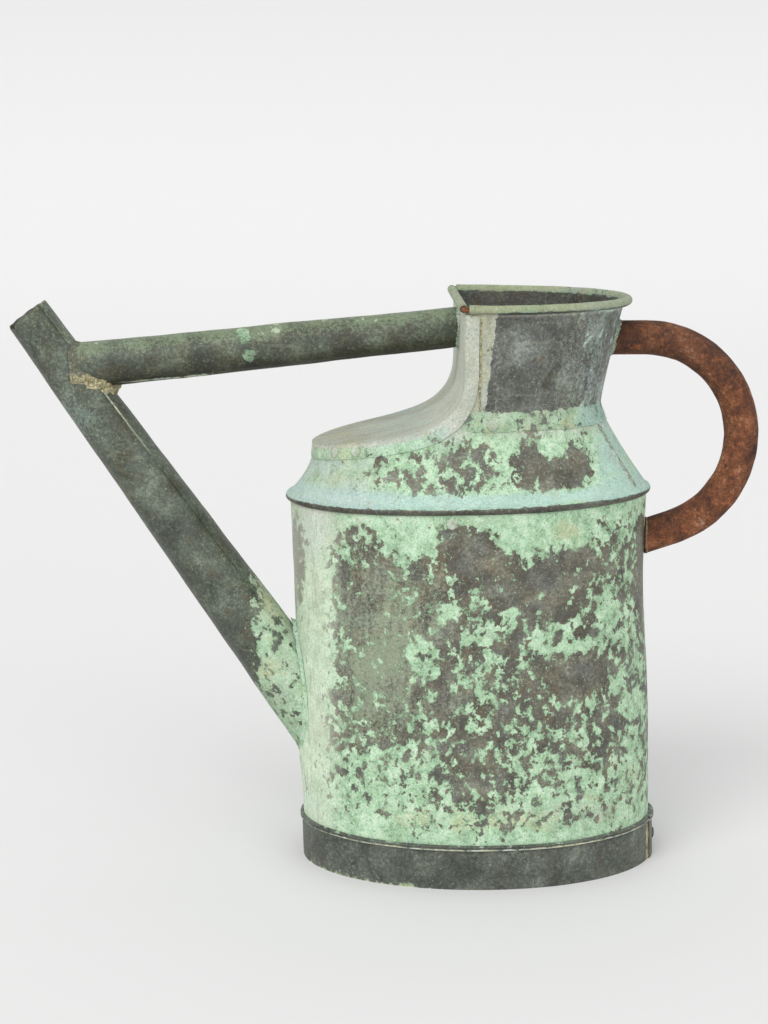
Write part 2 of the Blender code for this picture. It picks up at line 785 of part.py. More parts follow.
STRUT_AXIS = Vector((-math.cos(STRUT_SLOPE), 0.0, -math.sin(STRUT_SLOPE)))
STRUT_UP = Vector((STRUT_AXIS.z, 0.0, -STRUT_AXIS.x))
STRUT_START = Vector((PANEL_X, 0.0, STRUT_NECK_HEIGHT))
STRUT_LENGTH = (hit(STRUT_START, STRUT_AXIS, outside_spout, 0.0, SPOUT_REACH) - STRUT_START).length
STRUT_SOLDER_START = 0.2 * STRUT_LENGTH


def strut_radius(along):
    return lerp(STRUT_NECK_RADIUS, STRUT_SPOUT_RADIUS, along / STRUT_LENGTH)


def strut_ray(angle):
    return STRUT_UP * math.cos(angle) + Vector((0.0, 1.0, 0.0)) * math.sin(angle)


def make_strut(paint, parent):
    """The strut, a lapped tube cut to the panel at one end and to the spout at the other."""
    angles = lap_angles(STRUT_LAP_EDGE, STRUT_LAP, STRUT_COLUMN)
    rows = 4
    outer = [[] for _ in range(rows)]
    inner = [[] for _ in range(rows)]
    for angle in angles:
        out = -LAYER * lap_offset(angle, STRUT_LAP_EDGE, 2 * STRUT_COLUMN)
        ray = strut_ray(angle)
        for grid, less in ((outer, 0.0), (inner, SHEET)):
            middle = STRUT_START + STRUT_AXIS * STRUT_LENGTH / 2
            middle += ray * (strut_radius(STRUT_LENGTH / 2) + out - less)
            taper = (STRUT_SPOUT_RADIUS - STRUT_NECK_RADIUS) / STRUT_LENGTH
            way = (STRUT_AXIS + ray * taper).normalized()
            near = hit(middle, -way, outside_panel, GAP, STRUT_LENGTH)
            far = hit(middle, way, outside_spout, GAP, STRUT_LENGTH)
            for row in range(rows):
                grid[row].append(near.lerp(far, row / (rows - 1)))
    return add_object("strut_tube", sheet_mesh("strut_tube", outer, inner), paint, parent)


HANDLE_CENTRE = body_oval(HANDLE_HEIGHT - 2 * HANDLE_BEND_RADIUS).at(0.0)
HANDLE_CENTRE += Vector((-HANDLE_BEND_INSET, 0.0, HANDLE_BEND_RADIUS))


def handle_path():
    """Centre points and directions along the handle, from the neck round to the body."""
    steps = 14
    path = []
    for step in range(steps + 1):
        turn = lerp(math.pi / 2, HANDLE_BEND_END, step / steps)
        spot = Vector((math.cos(turn), 0.0, math.sin(turn))) * HANDLE_BEND_RADIUS
        path.append((HANDLE_CENTRE + spot, Vector((math.sin(turn), 0.0, -math.cos(turn)))))
    return path


def make_handle(paint, parent):
    """The bent iron handle, an open tube cut to the neck and to the body."""
    sides = 14
    path = handle_path()
    outer, inner = [], []
    side_way = Vector((0.0, 1.0, 0.0))

    def ring(spot, ahead, radius):
        up = ahead.cross(side_way)
        return [
            spot + (up * math.cos(TURN * k / sides) + side_way * math.sin(TURN * k / sides)) * radius
            for k in range(sides)
        ]

    for grid, radius in ((outer, HANDLE_RADIUS), (inner, HANDLE_RADIUS - HANDLE_WALL)):
        rings = [ring(spot, ahead, radius) for spot, ahead in path]
        top_way, foot_way = -path[0][1], path[-1][1]
        top = [hit(point, top_way, outside_neck, GAP, HANDLE_CUT_REACH) for point in rings[0]]
        foot = [hit(point, foot_way, outside_body, GAP, HANDLE_CUT_REACH) for point in rings[-1]]
        grid.extend([top, *rings, foot])
    return add_object("handle_tube", sheet_mesh("handle_tube", outer, inner, True), paint, parent)


def solder_ring(name, start, way, ray_at, radius, bead, outside, paint, parent, clear=GAP):
    """A bead of solder round the end of a tube, where it meets a surface."""
    sides = 24
    points = []
    for side in range(sides):
        ray = ray_at(TURN * side / sides)
        from_point = start + ray * (radius + bead + clear)
        points.append(hit(from_point, way, outside, bead + GAP, SOLDER_REACH))
    return loop_curve(name, points, bead, paint, parent)


def make_solder(paint, grey, parent):
    """The solder round each joint of a tube."""
    across = Vector((0.0, 1.0, 0.0))
    spout_up = Vector((-SPOUT_AXIS.z, 0.0, SPOUT_AXIS.x))
    solder_ring(
        "solder_spout_root",
        SPOUT_ROOT - SPOUT_AXIS * SPOUT_SOLDER_START,
        SPOUT_AXIS,
        lambda angle: spout_up * math.cos(angle) + across * math.sin(angle),
        spout_radius(SPOUT_LENGTH) + SPOUT_FLARE,
        SPOUT_SOLDER,
        outside_body,
        paint,
        parent,
    )
    solder_ring(
        "solder_strut_spout",
        STRUT_START + STRUT_AXIS * (STRUT_LENGTH - STRUT_SOLDER_START),
        STRUT_AXIS,
        strut_ray,
        STRUT_SPOUT_RADIUS,
        STRUT_SOLDER,
        outside_spout,
        paint,
        parent,
        SOLDER_GAP,
    )
    solder_ring(
        "solder_strut_neck",
        STRUT_START + STRUT_AXIS * STRUT_SOLDER_START,
        -STRUT_AXIS,
        strut_ray,
        STRUT_NECK_RADIUS,
        NECK_SOLDER,
        outside_panel,
        grey,
        parent,
    )
    path = handle_path()
    ends = (
        ("solder_handle_top", path[0][0], -path[0][1], outside_neck),
        ("solder_handle_foot", path[-1][0], path[-1][1], outside_body),
    )
    for name, spot, way, outside in ends:
        up = way.cross(across)
        solder_ring(
            name,
            spot,
            way,
            lambda angle, up=up: up * math.cos(angle) + across * math.sin(angle),
            HANDLE_RADIUS,
            HANDLE_SOLDER,
            outside,
            grey,
            parent,
        )


def solder_strip(name, place, sections, paint, parent):
    """A low strip of solder. place gives its points from (share along, share across, height)."""
    crown = (0.25, 0.8, 1.0, 0.8, 0.25)
    outer, inner = [], []
    for row in range(sections + 1):
        along = row / sections
        shares = [column / (len(crown) - 1) for column in range(len(crown))]
        outer.append([place(along, across, STRIP_HEIGHT * high) for across, high in zip(shares, crown)])
        inner.append([place(along, across, 0.0) for across in shares])
    add_object(name, sheet_mesh(name, outer, inner), paint, parent)


def make_solder_strips(paint, parent):
    """The solder over the shoulder's seam, beside the foot band's lap and along the panel."""

    def on_shoulder(along, across, height):
        angle = SHOULDER_SEAM_ANGLE + (across - 0.5) * STRIP_WIDTH / (BODY_LENGTH_TOP / 2)
        reach = 1.0 - (NECK_FLANGE + 2 * GAP) / shoulder_height(angle)
        return shoulder_point(angle, lerp(0.03, reach, along), GAP + height)

    def on_foot(along, across, height):
        back = GAP + (1.0 - across) * STRIP_WIDTH
        angle = FOOT_LAP_EDGE - back / (BODY_LENGTH_FOOT / 2)
        level = lerp(0.0, FOOT_HEIGHT - 4 * FOOT_BEAD, along)
        return body_oval(level).at(angle, 2 * GAP + FOOT_SHEET + height)

    solder_strip("solder_shoulder_seam", on_shoulder, 4, paint, parent)
    solder_strip("solder_foot_lap", on_foot, 1, paint, parent)
    for side, word in ((-1, "front"), (1, "back")):

        def on_neck(along, across, height, side=side):
            level = lerp(RIM_HEIGHT - 2 * BEAD_OUTER, WAIST_HEIGHT + 2 * SHEET, along)
            x = PANEL_X + PANEL_SIDE_FLANGE + 2 * GAP + across * STRIP_WIDTH / 2
            depth = neck_oval(level).half_depth_at(x) + FLANGE_LAYER + GAP + height
            return Vector((x, side * depth, level))

        solder_strip(f"solder_panel_{word}", on_neck, 3, paint, parent)


def make_rivet(name, surface, normal, inner_depth, outer_depth, sheets, paint, parent):
    """A domed rivet through one or more sheets, with the holes that it passes through.

    The sheets lie from inner_depth behind the surface point to outer_depth in front of it.
    """
    sides = 8
    top = surface + normal * (outer_depth + GAP)
    low = surface - normal * (inner_depth + GAP)
    stations = (
        (top + normal * RIVET_HEAD_HEIGHT, 0.45 * RIVET_HEAD_RADIUS),
        (top + normal * RIVET_HEAD_HEIGHT * 0.75, 0.8 * RIVET_HEAD_RADIUS),
        (top, RIVET_HEAD_RADIUS),
        (top, RIVET_SHANK_RADIUS),
        (low, RIVET_SHANK_RADIUS),
        (low, RIVET_TAIL_RADIUS),
        (low - normal * RIVET_TAIL_HEIGHT, 0.7 * RIVET_TAIL_RADIUS),
    )
    rings = [circle(spot, normal, radius, sides) for spot, radius in stations]
    add_object(name, turned_mesh(name, rings), paint, parent)
    margin = normal * 3 * SHEET
    hole = [circle(spot, normal, RIVET_SHANK_RADIUS + GAP, sides) for spot in (top + margin, low - margin)]
    cutter = bpy.data.objects.new(name + "_hole", turned_mesh(name + "_hole", hole))
    bpy.context.scene.collection.objects.link(cutter)
    cutter.parent = parent
    for target in sheets:
        cut(target, cutter)


def shoulder_normal(angle, share):
    step = 0.02
    up = shoulder_point(angle, share + step) - shoulder_point(angle, share - step)
    round_ = shoulder_point(angle + step, share) - shoulder_point(angle - step, share)
    return round_.cross(up).normalized()


def make_rivets(parts, paint, parent):
    """Rivets through the flanges, under the seam and through the lap of the foot band."""
    for side, word in ((-1, "front"), (1, "back")):
        for kind, angle, drop, panel in (
            ("neck", NECK_RIVET_ANGLE, NECK_RIVET_DROP, parts["neck_wall"]),
            ("toe", TOE_RIVET_ANGLES[0], TOE_RIVET_DROP, parts["front_panel"]),
            ("panel", TOE_RIVET_ANGLES[1], TOE_RIVET_DROP, parts["front_panel"]),
        ):
            share = 1.0 - drop / shoulder_height(angle)
            surface = shoulder_point(side * angle, share)
            normal = shoulder_normal(side * angle, share)
            sheets = (panel, parts["shoulder"])
            name = f"{kind}_rivet_{word}"
            over = FLANGE_LAYER + RIVET_SEAT
            make_rivet(name, surface, normal, SHEET, over, sheets, paint, parent)
        height = seam_oval().at(SEAM_RIVET_ANGLE).z - SEAM_RIVET_DROP
        oval = body_oval(height)
        surface = oval.at(side * SEAM_RIVET_ANGLE)
        normal = plan_normal(oval, side * SEAM_RIVET_ANGLE)
        name = f"seam_rivet_{word}"
        make_rivet(name, surface, normal, SHEET, 0.0, (parts["body_wall"],), paint, parent)
    oval = body_oval(FOOT_RIVET_HEIGHT)
    surface = oval.at(FOOT_RIVET_ANGLE)
    normal = plan_normal(oval, FOOT_RIVET_ANGLE)
    sheets = (parts["foot_band"],)
    depth = 2 * (FOOT_SHEET + GAP)
    make_rivet("foot_rivet", surface, normal, -GAP, depth, sheets, paint, parent)


def clear_scene():
    for item in list(bpy.data.objects):
        bpy.data.objects.remove(item, do_unlink=True)


def middle_of_length():
    """X of the middle between the spout's torn lip and the back of the handle."""
    lip_way = Vector((-SPOUT_AXIS.z, 0.0, SPOUT_AXIS.x))
    lips = []
    for angle in lap_angles(SPOUT_LAP_EDGE, SPOUT_LAP, SPOUT_COLUMN):
        place = SPOUT_TIP + SPOUT_AXIS * torn(angle)
        lips.append(place.x + lip_way.x * math.cos(angle) * spout_radius(torn(angle)))
    back = HANDLE_CENTRE.x + HANDLE_BEND_RADIUS + HANDLE_RADIUS
    return (min(lips) + back) / 2


def main():
    clear_scene()
    copper = material("aged_copper", (0.25, 0.42, 0.33), 0.75, 0.2)
    dark = material("dark_copper", (0.10, 0.11, 0.09), 0.6, 0.4)
    iron = material("rusty_iron", (0.22, 0.08, 0.04), 0.85, 0.1)
    solder = material("old_solder", (0.42, 0.38, 0.26), 0.6, 0.5)
    grey = material("grey_solder", (0.40, 0.44, 0.38), 0.6, 0.5)

    can = bpy.data.objects.new("can", None)
    bpy.context.scene.collection.objects.link(can)
    can.location.x = -middle_of_length()

    parts = {
        "body_wall": make_body_wall(copper, can),
        "foot_band": make_foot_band(dark, can),
        "shoulder": make_shoulder(copper, can),
        "neck_wall": make_neck_wall(dark, can),
        "front_panel": make_front_panel(copper, can),
    }
    make_bottom_plate(dark, can)
    cut_outlet(parts["body_wall"], can)
    make_rim_wire(iron, can)
    make_spout(dark, can)
    make_strut(dark, can)
    make_handle(iron, can)
    make_solder(solder, grey, can)
    make_solder_strips(solder, can)
    make_rivets(parts, copper, can)


main()
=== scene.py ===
"""The looks of an old oval copper watering can with a rusty iron handle.

Lengths are in metres and +Z is up. The can is built about the centre of its foot, with the
spout towards -X, and each point then moves along X by FOOT_X to its place in the frame.
"""

import math

import bmesh
import bpy
from mathutils import Matrix, Vector, noise


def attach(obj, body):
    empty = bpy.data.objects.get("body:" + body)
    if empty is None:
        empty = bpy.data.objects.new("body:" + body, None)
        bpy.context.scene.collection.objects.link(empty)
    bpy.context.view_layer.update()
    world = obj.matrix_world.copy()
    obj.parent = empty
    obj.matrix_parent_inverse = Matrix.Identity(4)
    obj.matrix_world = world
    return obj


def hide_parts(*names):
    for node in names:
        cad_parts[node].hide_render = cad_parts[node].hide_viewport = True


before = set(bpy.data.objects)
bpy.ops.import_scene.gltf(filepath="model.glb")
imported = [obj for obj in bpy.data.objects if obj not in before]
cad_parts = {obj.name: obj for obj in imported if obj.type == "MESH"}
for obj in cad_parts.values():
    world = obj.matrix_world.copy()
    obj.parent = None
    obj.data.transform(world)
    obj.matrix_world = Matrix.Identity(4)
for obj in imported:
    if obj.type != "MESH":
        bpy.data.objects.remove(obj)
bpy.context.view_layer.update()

# Sheets and the gaps between them
SHEET = 0.0008
GAP = 0.0003
LAYER = SHEET + GAP
FLANGE_GAP = 0.0005
FLANGE_LAYER = SHEET + FLANGE_GAP
COLUMN = math.radians(7.5)
TURN = 2 * math.pi

# Body: an oval tube that leans a little towards the spout
BODY_LENGTH_FOOT = 0.2456
BODY_LENGTH_TOP = 0.2480
BODY_DEPTH_FOOT = 0.1736
BODY_DEPTH_TOP = 0.1630
BODY_LEAN = 0.0077
BODY_SEAM_HEIGHT = 0.2613
BODY_SEAM_RISE = 0.0220
BODY_LAP_EDGE = math.radians(22.5)
BODY_END_HEIGHT = 0.0200

# Foot band and the bottom plate inside it
FOOT_HEIGHT = 0.0310
FOOT_SHEET = 0.0010
FOOT_BEAD = 0.0012
FOOT_LAP_EDGE = math.radians(-15)
FOOT_LAP = math.radians(15)
BOTTOM_HEIGHT = 0.0215
BOTTOM_FLANGE = 0.0090

# Shoulder: from the seam with the body up to the crease under the neck and panel
SEAM_BEAD = 0.0020
SHOULDER_SEAM_ANGLE = math.radians(-22.5)
CREASE_LENGTH = 0.1968
CREASE_DEPTH = 0.1290
CREASE_SHIFT = 0.0163
WAIST_ABOVE_SEAM = 0.0627
SHOULDER_HOLLOW = 1.70
SHOULDER_HOLLOW_CHANGE = 0.45

# Neck, flaring to the wired rim
RIM_ABOVE_WAIST = 0.0705
RIM_LENGTH = 0.1940
RIM_DEPTH = 0.1430
FLARE_POWER = 1.2
NECK_FLANGE = 0.0120
RIM_WIRE_RADIUS = 0.0018
RIM_WIRE_BEND = 0.0040

# Front panel: a flat toe that curves up to the straight side of the rim
PANEL_X = -0.0150
PANEL_ROLL_INSET = 0.0013
TOE_ABOVE_SEAM = 0.0357
PANEL_BEND_ABOVE_WAIST = 0.0260
PANEL_TOE_PULL_RUN = 0.632
PANEL_TOE_PULL_RISE = 0.226
PANEL_BEND_PULL = 0.792
PANEL_FLANGE = 0.0105
PANEL_SIDE_FLANGE = 0.0095
PANEL_SWITCH_ANGLE = math.radians(105)

# Spout: a tapered tube, torn at its tip
SPOUT_REACH = 0.1846
SPOUT_TIP_BELOW_RIM = 0.0082
SPOUT_ROOT_HEIGHT = 0.1205
SPOUT_TIP_RADIUS = 0.0156
SPOUT_ROOT_RADIUS = 0.0240
SPOUT_LAP_EDGE = math.radians(-42)
SPOUT_LAP = math.radians(24)
SPOUT_COLUMN = math.radians(12)
SPOUT_OUTLET_RADIUS = 0.0180
TORN_BITE, TORN_BITE_ANGLE = 0.0042, math.radians(205)
TORN_NICK, TORN_NICK_ANGLE = 0.0016, math.radians(20)
TORN_ROUGHNESS = 0.0007

# Strut from the panel to the spout, the carrying grip
STRUT_BELOW_RIM = 0.0190
STRUT_SLOPE = math.radians(5.72)
STRUT_NECK_RADIUS = 0.0137
STRUT_SPOUT_RADIUS = 0.0155
STRUT_LAP_EDGE = math.radians(-150)
STRUT_LAP = math.radians(30)
STRUT_COLUMN = math.radians(15)

# Rear handle: a bent iron tube
HANDLE_RADIUS = 0.0119
HANDLE_WALL = 0.0016
HANDLE_BELOW_RIM = 0.0267
HANDLE_BEND_RADIUS = 0.0684
HANDLE_BEND_INSET = 0.0032
HANDLE_BEND_END = math.radians(-72)
HANDLE_CUT_REACH = 0.0800

# Solder and rivets
SOLDER_GAP = 0.0008
SOLDER_REACH = 0.1200
SPOUT_SOLDER = 0.0016
SPOUT_SOLDER_START = 0.0700
SPOUT_FLARE = 0.0025
STRUT_SOLDER = 0.0020
NECK_SOLDER = 0.0008
HANDLE_SOLDER = 0.0015
STRIP_WIDTH = 0.0060
STRIP_HEIGHT = 0.0010
RIVET_HEAD_RADIUS = 0.0038
RIVET_HEAD_HEIGHT = 0.0015
RIVET_SEAT = 0.0002
RIVET_SHANK_RADIUS = 0.0016
RIVET_TAIL_RADIUS = 0.0026
RIVET_TAIL_HEIGHT = 0.0010
NECK_RIVET_ANGLE = math.radians(78.5)
NECK_RIVET_DROP = 0.0080
SEAM_RIVET_ANGLE = math.radians(97.5)
SEAM_RIVET_DROP = 0.0085
TOE_RIVET_ANGLES = (math.radians(148), math.radians(135))
TOE_RIVET_DROP = 0.0055
FOOT_RIVET_ANGLE = math.radians(-6)
FOOT_RIVET_HEIGHT = 0.0145

# Heights above the floor, built up from the seam
WAIST_HEIGHT = BODY_SEAM_HEIGHT + WAIST_ABOVE_SEAM
TOE_HEIGHT = BODY_SEAM_HEIGHT + TOE_ABOVE_SEAM
PANEL_BEND_TOP = WAIST_HEIGHT + PANEL_BEND_ABOVE_WAIST
RIM_HEIGHT = WAIST_HEIGHT + RIM_ABOVE_WAIST
STRUT_NECK_HEIGHT = RIM_HEIGHT - STRUT_BELOW_RIM
HANDLE_HEIGHT = RIM_HEIGHT - HANDLE_BELOW_RIM

# Run and rise of the panel's bend, and the stretches where its flanges change along it
PANEL_TOE_X = -CREASE_SHIFT - CREASE_LENGTH / 2
PANEL_RUN = PANEL_X - PANEL_TOE_X
PANEL_RISE = PANEL_BEND_TOP - TOE_HEIGHT
FLANGE_TURN_X, FLANGE_TURN_SPAN = PANEL_TOE_X + 0.30 * PANEL_RUN, 0.45 * PANEL_RUN
FLANGE_NARROW_X, FLANGE_NARROW_SPAN = PANEL_TOE_X + 0.70 * PANEL_RUN, 0.28 * PANEL_RUN
OVER_NECK_X, OVER_NECK_SPAN = PANEL_TOE_X + 0.85 * PANEL_RUN, 0.08 * PANEL_RUN


def lerp(a, b, share):
    return a + (b - a) * share


def ease(share):
    share = min(max(share, 0.0), 1.0)
    return share * share * (3 - 2 * share)


class Oval:
    """An ellipse seen from above, level or rising towards +X."""

    def __init__(self, half_length, half_depth, x, z, rise=0.0):
        self.half_length = half_length
        self.half_depth = half_depth
        self.x = x
        self.z = z
        self.rise = rise

    def at(self, angle, out=0.0):
        along = (self.half_length + out) * math.cos(angle)
        across = (self.half_depth + out) * math.sin(angle)
        return Vector((self.x + along, across, self.z + self.rise * along))

    def holds(self, point, out=0.0):
        along = (point.x - self.x) / (self.half_length + out)
        across = point.y / (self.half_depth + out)
        return along * along + across * across < 1.0

    def half_depth_at(self, x):
        along = (x - self.x) / self.half_length
        return self.half_depth * math.sqrt(max(0.0, 1.0 - along * along))


# The surfaces that the sheets follow

def body_oval(height):
    """The outer face of the body wall at a height above the floor."""
    share = height / BODY_SEAM_HEIGHT
    return Oval(
        lerp(BODY_LENGTH_FOOT, BODY_LENGTH_TOP, share) / 2,
        lerp(BODY_DEPTH_FOOT, BODY_DEPTH_TOP, share) / 2,
        -BODY_LEAN * share,
        height,
    )


def seam_oval(lift=0.0):
    """The top of the body wall, which rises towards the handle."""
    oval = body_oval(BODY_SEAM_HEIGHT)
    oval.z += lift
    oval.rise = BODY_SEAM_RISE
    return oval


def neck_oval(height):
    """The inner layer of the neck at a height between the waist and the rim."""
    share = (height - WAIST_HEIGHT) / (RIM_HEIGHT - WAIST_HEIGHT)
    flare = max(share, 0.0) ** FLARE_POWER
    return Oval(
        lerp(CREASE_LENGTH, RIM_LENGTH, flare) / 2,
        lerp(CREASE_DEPTH, RIM_DEPTH, flare) / 2,
        lerp(-CREASE_SHIFT, 0.0, flare),
        height,
    )


def panel_point(share):
    """The bent part of the panel's outer face: share 0 at the toe, 1 where it turns upright."""
    toe = Vector((PANEL_TOE_X, 0.0, TOE_HEIGHT))
    toe_pull = Vector((PANEL_TOE_PULL_RUN * PANEL_RUN, 0.0, PANEL_TOE_PULL_RISE * PANEL_RISE))
    pulled_toe = toe + toe_pull
    upright = Vector((PANEL_X, 0.0, PANEL_BEND_TOP))
    pulled_upright = upright - Vector((0.0, 0.0, PANEL_BEND_PULL * PANEL_RISE))
    rest = 1.0 - share
    return (
        toe * rest**3
        + pulled_toe * 3 * rest * rest * share
        + pulled_upright * 3 * rest * share * share
        + upright * share**3
    )


def panel_share(value, axis):
    """The share of the bend at which the panel reaches an X or a height."""
    low, high = 0.0, 1.0
    for _ in range(40):
        middle = (low + high) / 2
        if panel_point(middle)[axis] < value:
            low = middle
        else:
            high = middle
    return low


def panel_normal(share):
    """Points from the panel's outer face into the can."""
    step = 0.001
    ahead = panel_point(min(share + step, 1.0)) - panel_point(max(share - step, 0.0))
    ahead.normalize()
    return Vector((ahead.z, 0.0, -ahead.x))


def crease_point(angle):
    """The top edge of the shoulder, which follows the panel and then the waist of the neck."""
    point = neck_oval(WAIST_HEIGHT).at(angle)
    bend_x = panel_point(panel_share(WAIST_HEIGHT, 2)).x
    if point.x < bend_x:
        point.z = panel_point(panel_share(point.x, 0)).z
    return point


SHOULDER_LIFT = SEAM_BEAD + SHEET


def shoulder_point(angle, share, out=0.0):
    """The outer face of the shoulder: share 0 at the seam and 1 at the crease."""
    low = seam_oval(SHOULDER_LIFT).at(angle)
    high = crease_point(angle)
    hollow = SHOULDER_HOLLOW - SHOULDER_HOLLOW_CHANGE * math.cos(angle)
    inset = 1.0 - (1.0 - share) ** hollow
    point = low.lerp(high, inset)
    point.z = lerp(low.z, high.z, share)
    point.x += out * math.cos(angle)
    point.y += out * math.sin(angle)
    return point


def shoulder_height(angle):
    return crease_point(angle).z - seam_oval(SHOULDER_LIFT).at(angle).z


def side_depth(x, height):
    """Half of the depth of the can's outer side, neck or shoulder, at an X and a height."""
    if height >= WAIST_HEIGHT:
        return neck_oval(height).half_depth_at(x)
    low, high = 0.0, math.pi
    for _ in range(40):
        middle = (low + high) / 2
        foot = seam_oval(SHOULDER_LIFT).at(middle).z
        share = min(max((height - foot) / shoulder_height(middle), 0.0), 1.0)
        if shoulder_point(middle, share).x > x:
            low = middle
        else:
            high = middle
    return shoulder_point(low, share).y


SPOUT_ROOT = body_oval(SPOUT_ROOT_HEIGHT).at(math.pi)
SPOUT_TIP = Vector((SPOUT_ROOT.x - SPOUT_REACH, 0.0, RIM_HEIGHT - SPOUT_TIP_BELOW_RIM))
SPOUT_LENGTH = (SPOUT_ROOT - SPOUT_TIP).length
SPOUT_AXIS = (SPOUT_ROOT - SPOUT_TIP).normalized()


def spout_radius(along):
    return lerp(SPOUT_TIP_RADIUS, SPOUT_ROOT_RADIUS, along / SPOUT_LENGTH)


def outside_spout(point, out):
    from_tip = point - SPOUT_TIP
    along = from_tip.dot(SPOUT_AXIS)
    return (from_tip - SPOUT_AXIS * along).length > spout_radius(along) + out


def outside_body(point, out):
    return not body_oval(point.z).holds(point, out)


def outside_neck(point, out):
    return not neck_oval(point.z).holds(point, FLANGE_LAYER + out)


def outside_panel(point, out):
    return point.x < PANEL_X - out


def hit(start, direction, outside, out, reach):
    """The last point on the way from start that lies outside a surface by at least out."""
    near, far = 0.0, reach
    for _ in range(40):
        middle = (near + far) / 2
        if outside(start + direction * middle, out):
            near = middle
        else:
            far = middle
    return start + direction * near


CURL_STEP = math.radians(50)
CURL_ANGLES = [math.pi - CURL_STEP * step for step in range(7)]
BEAD_INNER = (RIM_WIRE_RADIUS + GAP) / math.cos(CURL_STEP / 2)
BEAD_OUTER = BEAD_INNER + SHEET
NECK_COLUMNS = 28
NECK_EDGE_X = PANEL_X + SHEET + GAP
WIRE_LINE_X = PANEL_X + PANEL_ROLL_INSET - BEAD_INNER


def neck_angle(height, edge_x=NECK_EDGE_X):
    """The angle of the corner where the neck meets the panel."""
    oval = neck_oval(height)
    return math.acos((edge_x - oval.x) / oval.half_length)


def wire_angle():
    """The angle where the wire leaves the neck's roll to turn the corner."""
    return neck_angle(RIM_HEIGHT, WIRE_LINE_X + RIM_WIRE_BEND)


def plan_normal(oval, angle):
    return Vector(
        (math.cos(angle) / oval.half_length, math.sin(angle) / oval.half_depth, 0.0)
    ).normalized()



def torn(angle):
    """How much is missing from the spout's tip, at an angle round it."""
    bite = max(0.0, math.cos(angle - TORN_BITE_ANGLE)) ** 3
    nick = max(0.0, math.cos(angle - TORN_NICK_ANGLE)) ** 12
    rough = 0.5 + 0.5 * math.sin(7 * angle) * math.cos(3 * angle + 1.0)
    return TORN_BITE * bite * lerp(0.55, 1.0, rough) + TORN_NICK * nick + TORN_ROUGHNESS * rough


def lap_angles(edge, lap, column=COLUMN):
    """Angles once round from the edge of a lapped seam and on over the lap."""
    count = round((TURN + lap) / column)
    return [edge + step * column for step in range(count + 1)]


def lap_offset(angle, edge, blend=2 * COLUMN):
    """How far a lapped sheet has moved to its second layer: 0 to 1."""
    return ease((angle - edge - TURN + blend) / blend)


STRUT_AXIS = Vector((-math.cos(STRUT_SLOPE), 0.0, -math.sin(STRUT_SLOPE)))
STRUT_UP = Vector((STRUT_AXIS.z, 0.0, -STRUT_AXIS.x))
STRUT_START = Vector((PANEL_X, 0.0, STRUT_NECK_HEIGHT))
STRUT_LENGTH = (hit(STRUT_START, STRUT_AXIS, outside_spout, 0.0, SPOUT_REACH) - STRUT_START).length
STRUT_SOLDER_START = 0.2 * STRUT_LENGTH
SPOUT_UP = Vector((-SPOUT_AXIS.z, 0.0, SPOUT_AXIS.x))
ACROSS = Vector((0.0, 1.0, 0.0))
UPRIGHT = Vector((0.0, 0.0, 1.0))

HANDLE_CENTRE = body_oval(HANDLE_HEIGHT - 2 * HANDLE_BEND_RADIUS).at(0.0)
HANDLE_CENTRE += Vector((-HANDLE_BEND_INSET, 0.0, HANDLE_BEND_RADIUS))


def middle_of_length():
    """X of the middle between the spout's torn lip and the back of the handle."""
    lips = []
    for angle in lap_angles(SPOUT_LAP_EDGE, SPOUT_LAP, SPOUT_COLUMN):
        place = SPOUT_TIP + SPOUT_AXIS * torn(angle)
        lips.append(place.x + SPOUT_UP.x * math.cos(angle) * spout_radius(torn(angle)))
    back = HANDLE_CENTRE.x + HANDLE_BEND_RADIUS + HANDLE_RADIUS
    return (min(lips) + back) / 2


FOOT_X = -middle_of_length()


# Dents and buckles that the sheets of the body, shoulder, neck and panel share

DENTS = (
    (Vector((0.1170, -0.0050, 0.1970)), 0.0480, -0.0026),
    (Vector((-0.1280, -0.0100, 0.0760)), 0.0180, 0.0014),
    (Vector((-0.0300, -0.0850, 0.1200)), 0.0600, -0.0012),
    (Vector((0.0600, -0.0700, 0.0800)), 0.0400, 0.0010),
    (Vector((0.0250, 0.0850, 0.1500)), 0.0350, -0.0030),
    (Vector((-0.0700, 0.0650, 0.0900)), 0.0280, -0.0020),
    (Vector((0.0500, -0.0640, 0.3560)), 0.0220, -0.0008),
)


def rough(point, scale, seed=0.0):
    return noise.noise(point * scale + Vector((seed, 1.7 * seed, -seed)))


def plan_way(point):
    """The way out of the can in plan."""
    way = Vector((4 * point.x / BODY_LENGTH_TOP**2, 4 * point.y / BODY_DEPTH_TOP**2, 0.0))
    return way.normalized()


def dented(point):
    """A point of the can's sheets moved with their dents. The foot stays level."""
    free = ease(point.z / 0.04)
    out = 0.0007 * rough(point, 16.0, 3.1) + 0.00035 * rough(point, 48.0, 8.3)
    for centre, radius, depth in DENTS:
        out += depth * math.exp(-(((point - centre).length / radius) ** 2))
    lift = (0.0006 * rough(point, 14.0, 5.9) + 0.0002 * rough(point, 60.0, 2.2)) * free
    return point + plan_way(point) * out * lerp(0.25, 1.0, free) + UPRIGHT * lift


# Where each paint is bare, pale, tan, blue, cool or light. The light field also carries painted shade and painted
# highlights in places. A field's value belongs to a point.

class Patch:
    """A soft oval place on the side towards -Y: X and Z of its middle, its half sizes, its strength."""

    def __init__(self, x, z, half_x, half_z, strength, power=1.5):
        self.x = x
        self.z = z
        self.half_x = half_x
        self.half_z = half_z
        self.strength = strength
        self.power = power

    def at(self, point):
        away = ((point.x - self.x) / self.half_x) ** 2 + ((point.z - self.z) / self.half_z) ** 2
        return self.strength * math.exp(-min(away, 30.0) ** self.power)


def sum_of(patches, point):
    return sum(patch.at(point) for patch in patches)


